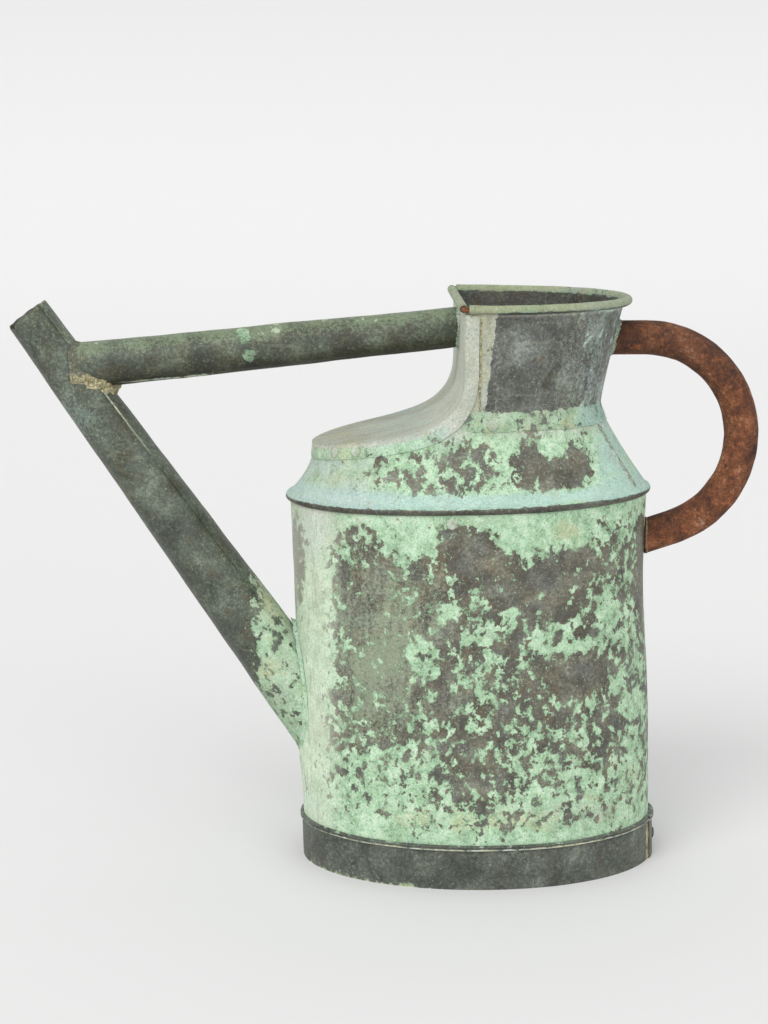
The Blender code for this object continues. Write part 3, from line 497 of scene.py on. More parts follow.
BARE_ON_WALL = (
    Patch(0.038, 0.176, 0.066, 0.060, 0.14, 1.0),
    Patch(-0.020, 0.116, 0.030, 0.050, 0.12, 1.0),
    Patch(0.030, 0.094, 0.070, 0.028, 0.07, 1.0),
    Patch(-0.071, 0.200, 0.040, 0.040, 0.26),
    Patch(-0.074, 0.133, 0.026, 0.036, 0.20),
    Patch(-0.012, 0.234, 0.028, 0.024, 0.34),
    Patch(0.008, 0.212, 0.022, 0.018, 0.14),
    Patch(0.054, 0.220, 0.032, 0.018, 0.24),
    Patch(0.040, 0.198, 0.026, 0.016, 0.12),
    Patch(0.088, 0.196, 0.012, 0.026, 0.10),
    Patch(0.062, 0.145, 0.020, 0.013, 0.60),
    Patch(-0.010, 0.073, 0.014, 0.016, 0.16),
    Patch(0.087, 0.100, 0.012, 0.024, 0.14),
    Patch(0.112, 0.205, 0.006, 0.040, 0.35),
    Patch(-0.1265, 0.215, 0.005, 0.040, 0.62),
    Patch(-0.119, 0.170, 0.018, 0.120, -0.38),
    Patch(-0.048, 0.241, 0.019, 0.010, -0.66),
    Patch(0.036, 0.246, 0.036, 0.014, -0.60),
    Patch(-0.076, 0.064, 0.054, 0.034, -0.15),
    Patch(-0.100, 0.120, 0.012, 0.060, 0.10),
    Patch(0.073, 0.066, 0.042, 0.026, -0.10),
    Patch(0.103, 0.130, 0.010, 0.070, -0.14),
    Patch(-0.043, 0.160, 0.012, 0.016, -0.26),
    Patch(-0.026, 0.192, 0.006, 0.006, -0.34),
    Patch(-0.004, 0.180, 0.010, 0.008, -0.24),
    Patch(-0.001, 0.154, 0.012, 0.020, -0.16),
    Patch(0.017, 0.192, 0.006, 0.006, -0.34),
    Patch(0.034, 0.174, 0.008, 0.008, -0.34),
    Patch(0.055, 0.165, 0.024, 0.004, -0.36),
    Patch(0.055, 0.177, 0.005, 0.007, -0.30),
    Patch(0.084, 0.184, 0.008, 0.022, -0.36),
)
BARE_ON_CONE = (
    Patch(0.029, 0.292, 0.010, 0.020, 0.60),
    Patch(0.054, 0.286, 0.021, 0.016, 0.66),
    Patch(0.045, 0.300, 0.010, 0.006, -0.90),
    Patch(-0.022, 0.284, 0.044, 0.016, 0.34),
    Patch(-0.010, 0.301, 0.016, 0.008, 0.24),
    Patch(-0.074, 0.284, 0.024, 0.010, 0.20),
)
PALE_ON_WALL = (
    Patch(-0.100, 0.245, 0.030, 0.020, 0.35),
    Patch(-0.119, 0.170, 0.014, 0.120, 0.30),
    Patch(0.060, 0.050, 0.070, 0.012, 0.35),
)
TAN_ON_WALL = (
    Patch(0.000, 0.048, 0.060, 0.010, 0.45),
    Patch(-0.020, 0.250, 0.018, 0.010, 0.40),
    Patch(-0.095, 0.235, 0.018, 0.020, 0.25),
    Patch(0.090, 0.060, 0.030, 0.030, 0.25),
    Patch(0.050, 0.245, 0.014, 0.008, 0.45),
)
BLUE_ON_WALL = (
    Patch(-0.124, 0.150, 0.010, 0.120, 0.30),
    Patch(-0.110, 0.046, 0.020, 0.012, 0.40),
    Patch(-0.110, 0.238, 0.020, 0.018, 0.50),
    Patch(0.105, 0.248, 0.020, 0.014, 0.35),
)
WASH_ON_WALL = (
    Patch(-0.074, 0.196, 0.044, 0.046, 0.46),
    Patch(-0.074, 0.130, 0.030, 0.036, 0.40),
    Patch(-0.030, 0.140, 0.060, 0.060, 0.15),
)


def front_share(point):
    """1 on the side towards -Y and 0 on the side towards +Y."""
    return ease(0.5 - point.y / 0.05)


def wall_field(point):
    front = front_share(point)
    seam = (BODY_SEAM_HEIGHT + BODY_SEAM_RISE * point.x) - point.z
    foot = point.z - FOOT_HEIGHT
    turn = math.atan2(point.y, point.x)
    hidden = (1.0 - front) * (0.12 * math.sin(7 * turn + 30 * point.z) + 0.14 * math.sin(3 * turn - 38 * point.z))
    edges = -0.55 * math.exp(-((max(seam, 0.0) / 0.009) ** 2)) - 0.30 * math.exp(-((max(foot, 0.0) / 0.012) ** 2))
    return {
        "bare": -0.03 + front * sum_of(BARE_ON_WALL, point) + hidden + edges,
        "lace": 1.0,
        "pale": front * sum_of(PALE_ON_WALL, point) + 0.25 * math.exp(-((max(seam, 0.0) / 0.006) ** 2)),
        "tan": front * sum_of(TAN_ON_WALL, point) + 0.10,
        "blue": sum_of(BLUE_ON_WALL, point) + 0.3 * math.exp(-((max(foot, 0.0) / 0.008) ** 2)),
        "cool": 0.42,
        # Painted light: the wall is made lighter and paler towards its left edge.
        "light": 0.50 + 0.30 * ease((-0.090 - point.x) / 0.02),
        "wash": 0.08 + front * sum_of(WASH_ON_WALL, point),
        "lean": 0.0,
        "scored": ease((abs(point.x + 0.004) - 0.088) / 0.028),
    }


def foot_field(point):
    top = ease((point.z - (FOOT_HEIGHT - 1.5 * FOOT_BEAD)) / 0.0004)
    # Along the dip between the bead's two ridges: bare metal there, made darker still as painted shade.
    line = math.exp(-(((point.z - (FOOT_HEIGHT - 1.7 * FOOT_BEAD)) / 0.0006) ** 2))
    lower = ease((point.z - (FOOT_HEIGHT - 3.3 * FOOT_BEAD)) / 0.0006) * (1.0 - top)
    # Just below the bead: a darker line of painted shade.
    shaded_groove = math.exp(-(((point.z - (FOOT_HEIGHT - 3.7 * FOOT_BEAD)) / 0.0007) ** 2))
    low = math.exp(-((point.z / 0.0035) ** 2))
    left = ease((0.02 - point.x) / 0.08)
    return {
        "bare": 0.60 - 0.42 * top - 0.85 * lower + 0.60 * line - 0.60 * low * left,
        "lace": 0.85,
        "pale": 0.45 + 0.5 * lower,
        "tan": 0.15 + 0.45 * lower + 0.7 * low * left,
        "blue": 0.30 * top + 0.15,
        "cool": 1.05,
        "light": 0.34 + 0.04 * top + 0.24 * lower - 0.20 * shaded_groove - 0.22 * line + 0.10 * low * left,
        "wash": 0.16,
        "lean": 0.0,
        "olive": 0.35,
    }


def cone_field(point):
    front = front_share(point)
    above = point.z - (BODY_SEAM_HEIGHT + BODY_SEAM_RISE * point.x)
    bead = 1.0 - ease((above - 0.0002) / 0.0024)
    band = math.exp(-(((above - 0.0060) / 0.0045) ** 2))
    left = ease((-0.055 - point.x) / 0.03)
    right = ease((point.x - 0.066) / 0.02)
    top = ease((point.z - 0.300) / 0.012)
    return {
        "bare": -0.28 + front * sum_of(BARE_ON_CONE, point) + 0.95 * bead - 0.35 * band - 0.1 * left - 0.2 * right,
        "lace": lerp(1.0, 0.8, bead),
        "pale": 0.22 + 0.30 * left + 0.10 * right + 0.1 * band + 0.30 * top,
        "tan": 0.13 + 0.10 * (1.0 - front) + 0.16 * left,
        "blue": 0.24 + 0.80 * band + 0.45 * right + 0.24 * left,
        "cool": 0.45,
        "light": lerp(0.54, 0.24, bead) + 0.06 * band,
        "wash": 0.18,
        "lean": 0.0,
        "scored": 0.35 * left,
    }


NECK_DARK_LEFT = 0.0050
NECK_DARK_SLANT = 0.11
NECK_DARK_RIGHT = 0.0660
NECK_DARK_LOW = 0.3240


def neck_field(point):
    oval = neck_oval(point.z)
    sheet_middle = FLANGE_GAP + SHEET / 2
    rim = ease((point.z - (RIM_HEIGHT - 0.0024)) / 0.0014)
    inside = oval.holds(point, sheet_middle) and point.z > WAIST_HEIGHT and rim < 0.5
    lip = math.exp(-(((point.z - (RIM_HEIGHT - 0.0046)) / 0.0010) ** 2))
    # Right under the rim's rolled bead: painted shade, a darker line.
    under = math.exp(-(((point.z - (RIM_HEIGHT - 0.0024)) / 0.0007) ** 2))
    flange = 1.0 - ease((point.z - WAIST_HEIGHT + 0.001) / 0.004)
    left = NECK_DARK_LEFT - NECK_DARK_SLANT * (RIM_HEIGHT - point.z)
    box = ease((point.x - left) / 0.004) * ease((point.z - NECK_DARK_LOW + 0.002) / 0.005)
    right = ease((point.x - NECK_DARK_RIGHT + 0.018) / 0.026)
    # Inside the neck: bare metal, made darker still as painted shade inside the can.
    if inside:
        return {
            "bare": 0.44, "lace": 1.0, "pale": 0.2, "tan": 0.1, "blue": 0.3,
            "cool": 0.5, "light": 0.20, "wash": 0.20, "lean": 0.0, "scored": 0.3,
        }
    wall = (1.0 - flange) * (1.0 - rim)
    return {
        "bare": -0.36 + wall * box * lerp(0.86, 0.60, right) - 0.05 * rim - 0.3 * lip + 0.17 * flange,
        "lace": lerp(1.0, 0.85, box * (1.0 - right)),
        "pale": 0.70 - 0.42 * rim - 0.40 * flange + 0.3 * lip,
        "tan": 0.15 + 0.75 * rim + 0.45 * wall * (1.0 - box) + 0.22 * flange,
        "blue": 0.20 + 0.50 * right + 0.05 * flange,
        "cool": 0.80,
        "light": 0.48 - 0.19 * rim - 0.08 * flange - 0.08 * wall * (1.0 - box) + 0.33 * lip - 0.3 * under,
        "wash": 0.16 + 0.30 * right,
        "lean": 0.0,
        "scored": 0.25 * wall * (1.0 - box),
    }


def panel_field(point):
    along = min(max((point.x + CREASE_SHIFT) * 2 / CREASE_LENGTH, -1.0), 1.0)
    crease = crease_point(math.acos(along))
    rim = ease((point.z - (RIM_HEIGHT - 0.0024)) / 0.0014)
    below = crease.z - point.z
    ramp = ease((-0.02 - point.x) / 0.01)
    tabs = ease((below - 0.0012) / 0.003) * ramp
    edge = math.exp(-(((below - 0.0005) / 0.0014) ** 2)) * ease((-0.03 - point.x) / 0.02)
    streak = math.exp(-(((point.x + 0.050) / 0.026) ** 2))
    side = ease((abs(point.y) - neck_oval(max(point.z, WAIST_HEIGHT)).half_depth_at(point.x) + 0.003) / 0.002)
    side *= 1.0 - ramp
    return {
        "bare": -0.62 + 0.30 * rim + 0.22 * edge + 0.30 * tabs,
        "lace": 1.0,
        "pale": 1.10 - 0.78 * tabs - 0.7 * rim,
        "tan": 0.26 + 0.35 * rim + 0.22 * ease((-0.06 - point.x) / 0.03) - 0.05 * tabs,
        "blue": 0.10 + 0.32 * streak + 0.10 * tabs,
        "cool": 0.6,
        "light": 0.62 - 0.24 * edge - 0.33 * rim - 0.13 * tabs + 0.03 * streak - 0.14 * side,
        "wash": 0.2,
        "lean": 1.0 - tabs,
    }


def strut_field(point):
    away = point - STRUT_START
    along = away.dot(STRUT_AXIS)
    rise = away.dot(STRUT_UP) / strut_radius(along)
    # The top is made paler and lighter and the underside darker and warmer: partly the patina's own colour, partly
    # painted light on top and painted shade underneath.
    top = ease((rise - 0.15) / 0.75)
    low = ease((-rise - 0.10) / 0.8)
    drip = math.exp(-(((along - 0.146 - 0.003 * rise) / 0.0045) ** 2)) * ease((point.y + 0.002) / -0.004)
    turn = math.atan2(point.y, away.dot(STRUT_UP))
    open_part = ease(1.6 - abs(along - 0.200) / 0.030)
    # The lap seam's lip: pale crust with a painted highlight. The strip beside it is made darker as painted shade.
    lip = open_part * math.exp(-(((turn - STRUT_LAP_EDGE - 0.06) / 0.06) ** 2))
    shade_beside_lip = open_part * math.exp(-(((turn - STRUT_LAP_EDGE + 0.10) / 0.08) ** 2))
    return {
        "bare": 0.46 - 0.16 * top - 0.78 * drip * ease((rise + 0.75) / 0.5) - 0.8 * lip,
        "lace": 1.0,
        "pale": 0.50 - 0.50 * drip,
        "tan": 0.30 + 0.3 * low - 0.2 * drip,
        "blue": 0.15,
        "cool": lerp(0.55, 0.15, low),
        "light": 0.32 + 0.12 * top - 0.24 * low + 0.35 * lip - 0.3 * shade_beside_lip - 0.12 * drip,
        "wash": 0.20 + 0.42 * top,
        "lean": 1.0,
        "olive": 0.75,
    }


def spout_field(point):
    away = point - SPOUT_TIP
    along = away.dot(SPOUT_AXIS)
    rise = away.dot(SPOUT_UP) / spout_radius(along)
    turn = math.atan2(point.y, away.dot(SPOUT_UP))
    root = ease((point.x + 0.171) / 0.024)
    # The underside: more bare metal, and darker as painted shade.
    low = ease((-rise - 0.35) / 0.6)
    seam = math.exp(-(((turn - SPOUT_LAP_EDGE) / 0.05) ** 2)) * ease(1.5 - abs(along - 0.085) / 0.045)
    tip = math.exp(-((along / 0.012) ** 2))
    cloudy = math.exp(-(((along - 0.075) / 0.020) ** 2)) * ease(0.5 - rise)
    return {
        "bare": 0.56 - 0.74 * root + 0.20 * low * (1.0 - root) - 0.10 * tip - 0.6 * seam,
        "lace": 1.0,
        "pale": 0.35 + 0.5 * seam,
        "tan": 0.15 + 0.25 * tip + 0.30 * root,
        "blue": 0.34 - 0.12 * root + 0.45 * cloudy,
        "cool": 0.70,
        "light": 0.41 + 0.45 * seam - 0.10 * low + 0.05 * tip + 0.05 * root,
        "wash": 0.15 + 0.2 * tip + 0.48 * cloudy,
        "lean": 0.0,
        "olive": 0.7,
    }


def even_field(bare, pale, blue, cool, light):
    """The same values all over a small piece."""
    values = {"bare": bare, "lace": 0.9, "pale": pale, "tan": 0.2, "blue": blue}
    values.update({"cool": cool, "light": light, "wash": 0.2, "lean": 0.0})
    return lambda point: values


root_field = even_field(-0.30, 0.3, 0.4, 0.4, 0.46)
stud_field = even_field(-0.25, 0.6, 0.2, 0.6, 0.49)
foot_stud_field = even_field(0.50, 0.3, 0.2, 0.3, 0.22)


def joint_field(point):
    """Solder is yellow under the strut and darker above it."""
    above = (point - (STRUT_START + STRUT_AXIS * STRUT_LENGTH)).dot(STRUT_UP)
    return {"stain": ease((above + 0.010) / 0.012)}


def plain_field(point):
    return {"stain": 0.0}


def top_joint_field(point):
    return {"stain": 0.35}



def rust_field(point):
    """The handle is darker near its ends and under its upper arm."""
    upper = ease((point.z - 0.330) / 0.025)
    return {"stain": 0.75 * upper + 0.12 * ease((0.262 - point.z) / 0.02)}


def foot_joint_field(point):
    return {"stain": 0.45}

# Meshes

def closed_mesh(name, vertices, faces):
    """A mesh with its doubled points joined and its faces turned outwards."""
    mesh = bpy.data.meshes.new(name)
    mesh.from_pydata(vertices, [], faces)
    work = bmesh.new()
    work.from_mesh(mesh)
    bmesh.ops.remove_doubles(work, verts=work.verts, dist=1e-6)
    bmesh.ops.dissolve_degenerate(work, edges=work.edges, dist=1e-7)
    bmesh.ops.recalc_face_normals(work, faces=work.faces)
    if work.calc_volume(signed=True) < 0:
        bmesh.ops.reverse_faces(work, faces=work.faces)
    work.to_mesh(mesh)
    work.free()
    return mesh


def sheet_mesh(name, outer, inner, loop=False):
    """A sheet between two grids of points. With loop, each row runs round and meets itself."""
    rows, columns = len(outer), len(outer[0])
    vertices = [point for grid in (outer, inner) for row in grid for point in row]
    under = rows * columns
    faces = []
    for row in range(rows - 1):
        for column in range(columns if loop else columns - 1):
            after = (column + 1) % columns
            low, high = row * columns, (row + 1) * columns
            face = (low + column, low + after, high + after, high + column)
            faces.append(face)
            faces.append(tuple(under + corner for corner in reversed(face)))
    for row in (0, rows - 1):
        for column in range(columns if loop else columns - 1):
            a = row * columns + column
            b = row * columns + (column + 1) % columns
            faces.append((a, b, under + b, under + a))
    if not loop:
        for column in (0, columns - 1):
            for row in range(rows - 1):
                a = row * columns + column
                b = (row + 1) * columns + column
                faces.append((a, b, under + b, under + a))
    return closed_mesh(name, vertices, faces)


def turned_mesh(name, rings):
    """A solid through a row of rings, with a flat cap on the first and the last one."""
    sides = len(rings[0])
    vertices = [point for ring in rings for point in ring]
    faces = [tuple(range(sides)), tuple(range((len(rings) - 1) * sides, len(rings) * sides))]
    for ring in range(len(rings) - 1):
        for side in range(sides):
            after = (side + 1) % sides
            a, b = ring * sides + side, ring * sides + after
            faces.append((a, b, b + sides, a + sides))
    return closed_mesh(name, vertices, faces)


def warped(grid, warp):
    return [[warp(point) for point in row] for row in grid]


def set_field(mesh, name, values):
    attribute = mesh.attributes.new(name, "FLOAT", "POINT")
    attribute.data.foreach_set("value", values)


def add_piece(name, mesh, paint, nodes, fields=None, crease=40):
    """A piece of the can. fields gives its paint's own values at a point, before it moves along X."""
    if fields:
        found = [fields(vertex.co) for vertex in mesh.vertices]
        for field in found[0]:
            set_field(mesh, field, [values[field] for values in found])
    mesh.transform(Matrix.Translation((FOOT_X, 0.0, 0.0)))
    mesh.shade_smooth()
    mesh.set_sharp_from_angle(angle=math.radians(crease))
    made = bpy.data.objects.new(name, mesh)
    made.data.materials.append(paint)
    bpy.context.scene.collection.objects.link(made)
    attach(made, "root")
    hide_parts(*nodes)
    return made


# The sheets of the can

def make_body_wall(paint):
    """One sheet rolled to an oval tube, lapped at the back beside the handle."""
    step = math.radians(1.5)
    angles = lap_angles(BODY_LAP_EDGE, COLUMN, step)
    rows = 84
    outer, inner = [], []
    for row in range(rows):
        share = row / (rows - 1)
        outer_row, inner_row = [], []
        for angle in angles:
            out = -LAYER * lap_offset(angle, BODY_LAP_EDGE)
            top = seam_oval(0.5 * SEAM_BEAD).at(angle).z
            oval = body_oval(lerp(BODY_END_HEIGHT, BODY_SEAM_HEIGHT, share))
            for made, more in ((outer_row, 0.0), (inner_row, -SHEET)):
                point = oval.at(angle, out + more)
                point.z = lerp(BODY_END_HEIGHT, top, share)
                made.append(dented(point))
        outer.append(outer_row)
        inner.append(inner_row)
    mesh = sheet_mesh("wall", outer, inner)
    return add_piece("wall", mesh, paint, ["body_wall"], wall_field)


def make_foot_band(paint):
    """The foot ring, with a beaded top edge and its end lapped over at the back."""
    start = -FOOT_LAP_EDGE - FOOT_LAP
    step = math.radians(1.5)
    angles = lap_angles(start, FOOT_LAP, step)
    flat = FOOT_HEIGHT - 3.2 * FOOT_BEAD
    profile = [(flat * row / 12, 0.0) for row in range(12)]
    for row in range(21):
        share = row / 20
        beads = max(0.45 * math.sin(math.pi * share), 0.95 * abs(math.sin(TURN * share)))
        profile.append((lerp(flat, FOOT_HEIGHT, share), FOOT_BEAD * beads))
    outer, inner = [], []
    for height, bead in profile:
        outer_row, inner_row = [], []
        for angle in angles:
            second = lap_offset(angle, start)
            base = GAP + (FOOT_SHEET + GAP + bead) * second
            inner_row.append(dented(body_oval(height).at(-angle, base)))
            out = base + FOOT_SHEET + bead * (1.0 - second)
            outer_row.append(dented(body_oval(height).at(-angle, out)))
        outer.append(outer_row)
        inner.append(inner_row)
    mesh = sheet_mesh("foot_ring", outer, inner)
    return add_piece("foot_ring", mesh, paint, ["foot_band"], foot_field)


def make_bottom_plate(paint):
    """A flat oval plate with its edge turned up inside the body wall."""
    edge = -SHEET - LAYER - GAP
    angles = [math.radians(3) * step for step in range(120)]
    stations = (
        (edge - SHEET, BOTTOM_HEIGHT),
        (edge, BOTTOM_HEIGHT + SHEET),
        (edge, BOTTOM_HEIGHT + BOTTOM_FLANGE),
        (edge - SHEET, BOTTOM_HEIGHT + BOTTOM_FLANGE),
        (edge - SHEET, BOTTOM_HEIGHT + 1.5 * SHEET),
        (edge - 1.5 * SHEET, BOTTOM_HEIGHT + SHEET),
    )
    rings = [[dented(body_oval(height).at(angle, out)) for angle in angles] for out, height in stations]
    mesh = turned_mesh("bottom", rings)
    return add_piece("bottom", mesh, paint, ["bottom_plate"], foot_field)


def make_shoulder(paint):
    """The coned shoulder, with its lower edge rolled out to a bead over the body wall."""
    rows = 36
    opening = GAP / BODY_LENGTH_TOP
    count = 240
    angles = [SHOULDER_SEAM_ANGLE + TURN * step / count for step in range(count + 1)]
    angles[0] += opening
    angles[-1] -= opening
    turns = [math.radians(turn) for turn in range(-90, 46, 15)]
    outer = [[] for _ in range(len(turns) + rows)]
    inner = [[] for _ in range(len(turns) + rows)]
    for angle in angles:
        for row, turn in enumerate(turns):
            for grid, radius in ((outer, SEAM_BEAD + SHEET), (inner, SEAM_BEAD)):
                lift = radius * math.sin(turn)
                grid[row].append(dented(seam_oval(lift).at(angle, GAP + radius * math.cos(turn))))
        top = 1.0 - (SHEET + 2 * GAP) / shoulder_height(angle)
        for row in range(rows):
            share = top * row / (rows - 1)
            outer[len(turns) + row].append(dented(shoulder_point(angle, share)))
            inner[len(turns) + row].append(dented(shoulder_point(angle, share, -SHEET)))
    mesh = sheet_mesh("cone", outer, inner)
    return add_piece("cone", mesh, paint, ["shoulder"], cone_field, 60)


FINE_CURLS = [math.pi - math.radians(25) * step for step in range(13)]


FEATHER = 0.0002


def make_neck_wall(paint):
    """The neck, one sheet from corner to corner, rolled round the rim wire and flanged below."""
    columns = 168
    wall_rows = 36
    flange_rows = 8
    outer, inner = [], []
    rim = neck_oval(RIM_HEIGHT)
    for curl in reversed(FINE_CURLS[2:]):
        outer_row, inner_row = [], []
        for column in range(columns + 1):
            angle = wire_angle() * (2 * column / columns - 1)
            normal = plan_normal(rim, angle)
            centre = rim.at(angle, FLANGE_LAYER) + normal * BEAD_INNER
            for made, radius in ((outer_row, BEAD_INNER), (inner_row, BEAD_OUTER)):
                lift = UPRIGHT * radius * math.sin(curl)
                made.append(dented(centre + normal * radius * math.cos(curl) + lift))
        outer.append(outer_row)
        inner.append(inner_row)
    for row in range(wall_rows):
        height = lerp(RIM_HEIGHT, WAIST_HEIGHT, row / (wall_rows - 1))
        oval = neck_oval(height)
        angles = [neck_angle(height) * (2 * column / columns - 1) for column in range(columns + 1)]
        outer.append([dented(oval.at(angle, FLANGE_LAYER)) for angle in angles])
        inner.append([dented(oval.at(angle, FLANGE_GAP)) for angle in angles])
    for row in range(1, flange_rows + 1):
        outer_row, inner_row = [], []
        for column in range(columns + 1):
            angle = neck_angle(WAIST_HEIGHT) * (2 * column / columns - 1)
            ragged = 0.0012 * rough(Vector((24 * angle, 0.0, 0.0)), 1.0, 4.4)
            ragged += 0.0006 * rough(Vector((90 * angle, 0.0, 0.0)), 1.0, 8.2)
            full = ease(min(column, columns - column) / 2)
            length = lerp(NECK_FLANGE - 0.0010, NECK_FLANGE + ragged, full)
            share = 1.0 - length * row / flange_rows / shoulder_height(angle)
            top = lerp(FLANGE_LAYER, FLANGE_GAP + FEATHER, ease(2.5 * row / flange_rows - 1.5))
            outer_row.append(dented(shoulder_point(angle, share, top)))
            inner_row.append(dented(shoulder_point(angle, share, FLANGE_GAP)))
        outer.append(outer_row)
        inner.append(inner_row)
    mesh = sheet_mesh("neck", outer, inner)
    return add_piece("neck", mesh, paint, ["neck_wall"], neck_field, 50)


def panel_stations():
    """Places down the panel as (point, normal into the can, half width)."""
    stations = []
    upright_rows = 20
    side_top = RIM_HEIGHT - BEAD_OUTER - 2 * GAP
    heights = [lerp(side_top, PANEL_BEND_TOP, row / (upright_rows - 1)) for row in range(upright_rows)]
    for height in heights:
        point = Vector((PANEL_X, 0.0, height))
        stations.append((point, Vector((1.0, 0.0, 0.0)), side_depth(PANEL_X, height)))
    crease = neck_oval(WAIST_HEIGHT)
    switch_height = panel_point(panel_share(crease.at(PANEL_SWITCH_ANGLE).x, 0)).z
    bend_rows = 28
    for row in range(1, bend_rows):
        height = lerp(PANEL_BEND_TOP, switch_height, row / bend_rows)
        share = panel_share(height, 2)
        point = panel_point(share)
        width = side_depth(point.x, height) if height > WAIST_HEIGHT else crease.half_depth_at(point.x)
        stations.append((point, panel_normal(share), width))
    steps = 50
    for step in range(steps + 1):
        angle = lerp(PANEL_SWITCH_ANGLE, math.pi, step / steps)
        edge = crease.at(angle)
        share = panel_share(edge.x, 0)
        stations.append((panel_point(share), panel_normal(share), abs(edge.y)))
    return stations


def panel_flange_point(point, normal, side, reach, layer, face):
    """A point of the panel's folded flange beside a station: reach 1 is its lower edge."""
    crease = neck_oval(WAIST_HEIGHT)
    thin = lerp(FLANGE_LAYER, FLANGE_GAP + FEATHER, ease((reach - 0.72) / 0.28))
    out = (FLANGE_GAP if face else thin) + FLANGE_LAYER * layer
    along = (point.x - crease.x) / crease.half_length
    angle = math.acos(min(max(along, -1.0), 1.0))
    share = 1.0 - reach * PANEL_FLANGE / shoulder_height(angle)
    down = shoulder_point(side * angle, share, out)
    mix = ease((point.x - FLANGE_TURN_X) / FLANGE_TURN_SPAN)
    if mix == 0.0:
        return down
    narrow = ease((point.x - FLANGE_NARROW_X) / FLANGE_NARROW_SPAN)
    width = lerp(PANEL_FLANGE, PANEL_SIDE_FLANGE, narrow)
    tip = point + normal * width * reach
    depth = side_depth(tip.x, tip.z) + out
    beside = Vector((tip.x, side * depth, tip.z))
    return down.lerp(beside, mix)


FOLD_SHARE = 0.16
FOLD_STEPS = 4
FLANGE_REACHES = (1.0, 0.82, 0.64, 0.48, 0.32)


def panel_row(point, normal, width, layer, inner, flange):
    """Points across one face of the panel, with rounded folds to its two flanges."""
    crease = neck_oval(WAIST_HEIGHT)
    cosine = min(max((crease.x - point.x) / crease.half_length, 0.0), 1.0)
    out = (FLANGE_GAP if inner else FLANGE_LAYER) + FLANGE_LAYER * layer
    place = point + normal * (SHEET if inner else 0.0) - Vector((out * cosine, 0.0, 0.0))
    half = width + out * math.sqrt(1.0 - cosine * cosine)
    columns = 24
    fold = min(0.0017, 0.4 * half)
    sheet = [Vector((place.x, (half - fold) * (2 * k / columns - 1), place.z)) for k in range(columns + 1)]
    sides = []
    for side in (-1, 1):
        edge = Vector((place.x, side * half, place.z))
        flat = Vector((place.x, side * (half - fold), place.z))
        if flange:
            folds = [panel_flange_point(point, normal, side, reach, layer, inner) for reach in FLANGE_REACHES]
            start = panel_flange_point(point, normal, side, FOLD_SHARE, layer, inner)
        else:
            folds = [edge.copy() for _ in FLANGE_REACHES]
            start = edge.copy()
        for step in range(FOLD_STEPS):
            share = step / FOLD_STEPS
            rest = 1.0 - share
            folds.append(start * rest * rest + edge * 2 * rest * share + flat * share * share)
        sides.append(folds)
    return sides[0] + sheet + sides[1][::-1]


def make_front_panel(paint):
    """The front panel, with its folded side flanges and its top edge rolled round the wire."""
    stations = panel_stations()
    top, upright, top_half = stations[0]
    rim_half = neck_oval(RIM_HEIGHT).half_depth_at(PANEL_X)
    wide = len(panel_row(top, upright, top_half, 1.0, False, False))
    middle = (wide - 1) / 2
    folded = len(FLANGE_REACHES) + FOLD_STEPS
    outer, inner = [], []
    for curl in reversed(FINE_CURLS):
        for grid, radius in ((outer, BEAD_INNER), (inner, BEAD_OUTER)):
            x = WIRE_LINE_X - radius * math.cos(curl)
            row = []
            for column in range(wide):
                share = min(max((column - middle) / (middle - folded), -1.0), 1.0)
                row.append(Vector((x, rim_half * share, RIM_HEIGHT + radius * math.sin(curl))))
            grid.append(row)
    for rise, layer in ((2 * GAP, -1.0), (GAP, 1.0)):
        step = top + Vector((0.0, 0.0, rise))
        for grid, is_inner in ((outer, False), (inner, True)):
            grid.append(panel_row(step, upright, top_half, layer, is_inner, False))
    for point, normal, width in stations:
        layer = ease((point.x - OVER_NECK_X) / OVER_NECK_SPAN)
        for grid, is_inner in ((outer, False), (inner, True)):
            grid.append(panel_row(point, normal, width, layer, is_inner, True))
    mesh = sheet_mesh("panel", warped(outer, dented), warped(inner, dented))
    return add_piece("panel", mesh, paint, ["front_panel"], panel_field, 50)


def rod_mesh(name, centres, radius_at, sides, loop):
    """A round rod through the points, thicker or thinner as radius_at(place, side) says."""
    count = len(centres)
    rings = []
    for place, centre in enumerate(centres):
        before = centres[(place - 1) % count] if loop or place else centre
        after = centres[(place + 1) % count] if loop or place < count - 1 else centre
        ahead = (after - before).normalized()
        first = ahead.cross(UPRIGHT)
        if first.length < 0.1:
            first = ahead.cross(ACROSS)
        first.normalize()
        second = first.cross(ahead)
        ring = []
        for side in range(sides):
            turn = TURN * side / sides
            ring.append(centre + (first * math.cos(turn) + second * math.sin(turn)) * radius_at(place, turn))
        rings.append(ring)
    if not loop:
        return turned_mesh(name, rings)
    rings.append(rings[0])
    vertices = [point for ring in rings for point in ring]
    faces = []
    for ring in range(count):
        for side in range(sides):
            after = (side + 1) % sides
            a, b = ring * sides + side, ring * sides + after
            faces.append((a, b, b + sides, a + sides))
    return closed_mesh(name, vertices, faces)


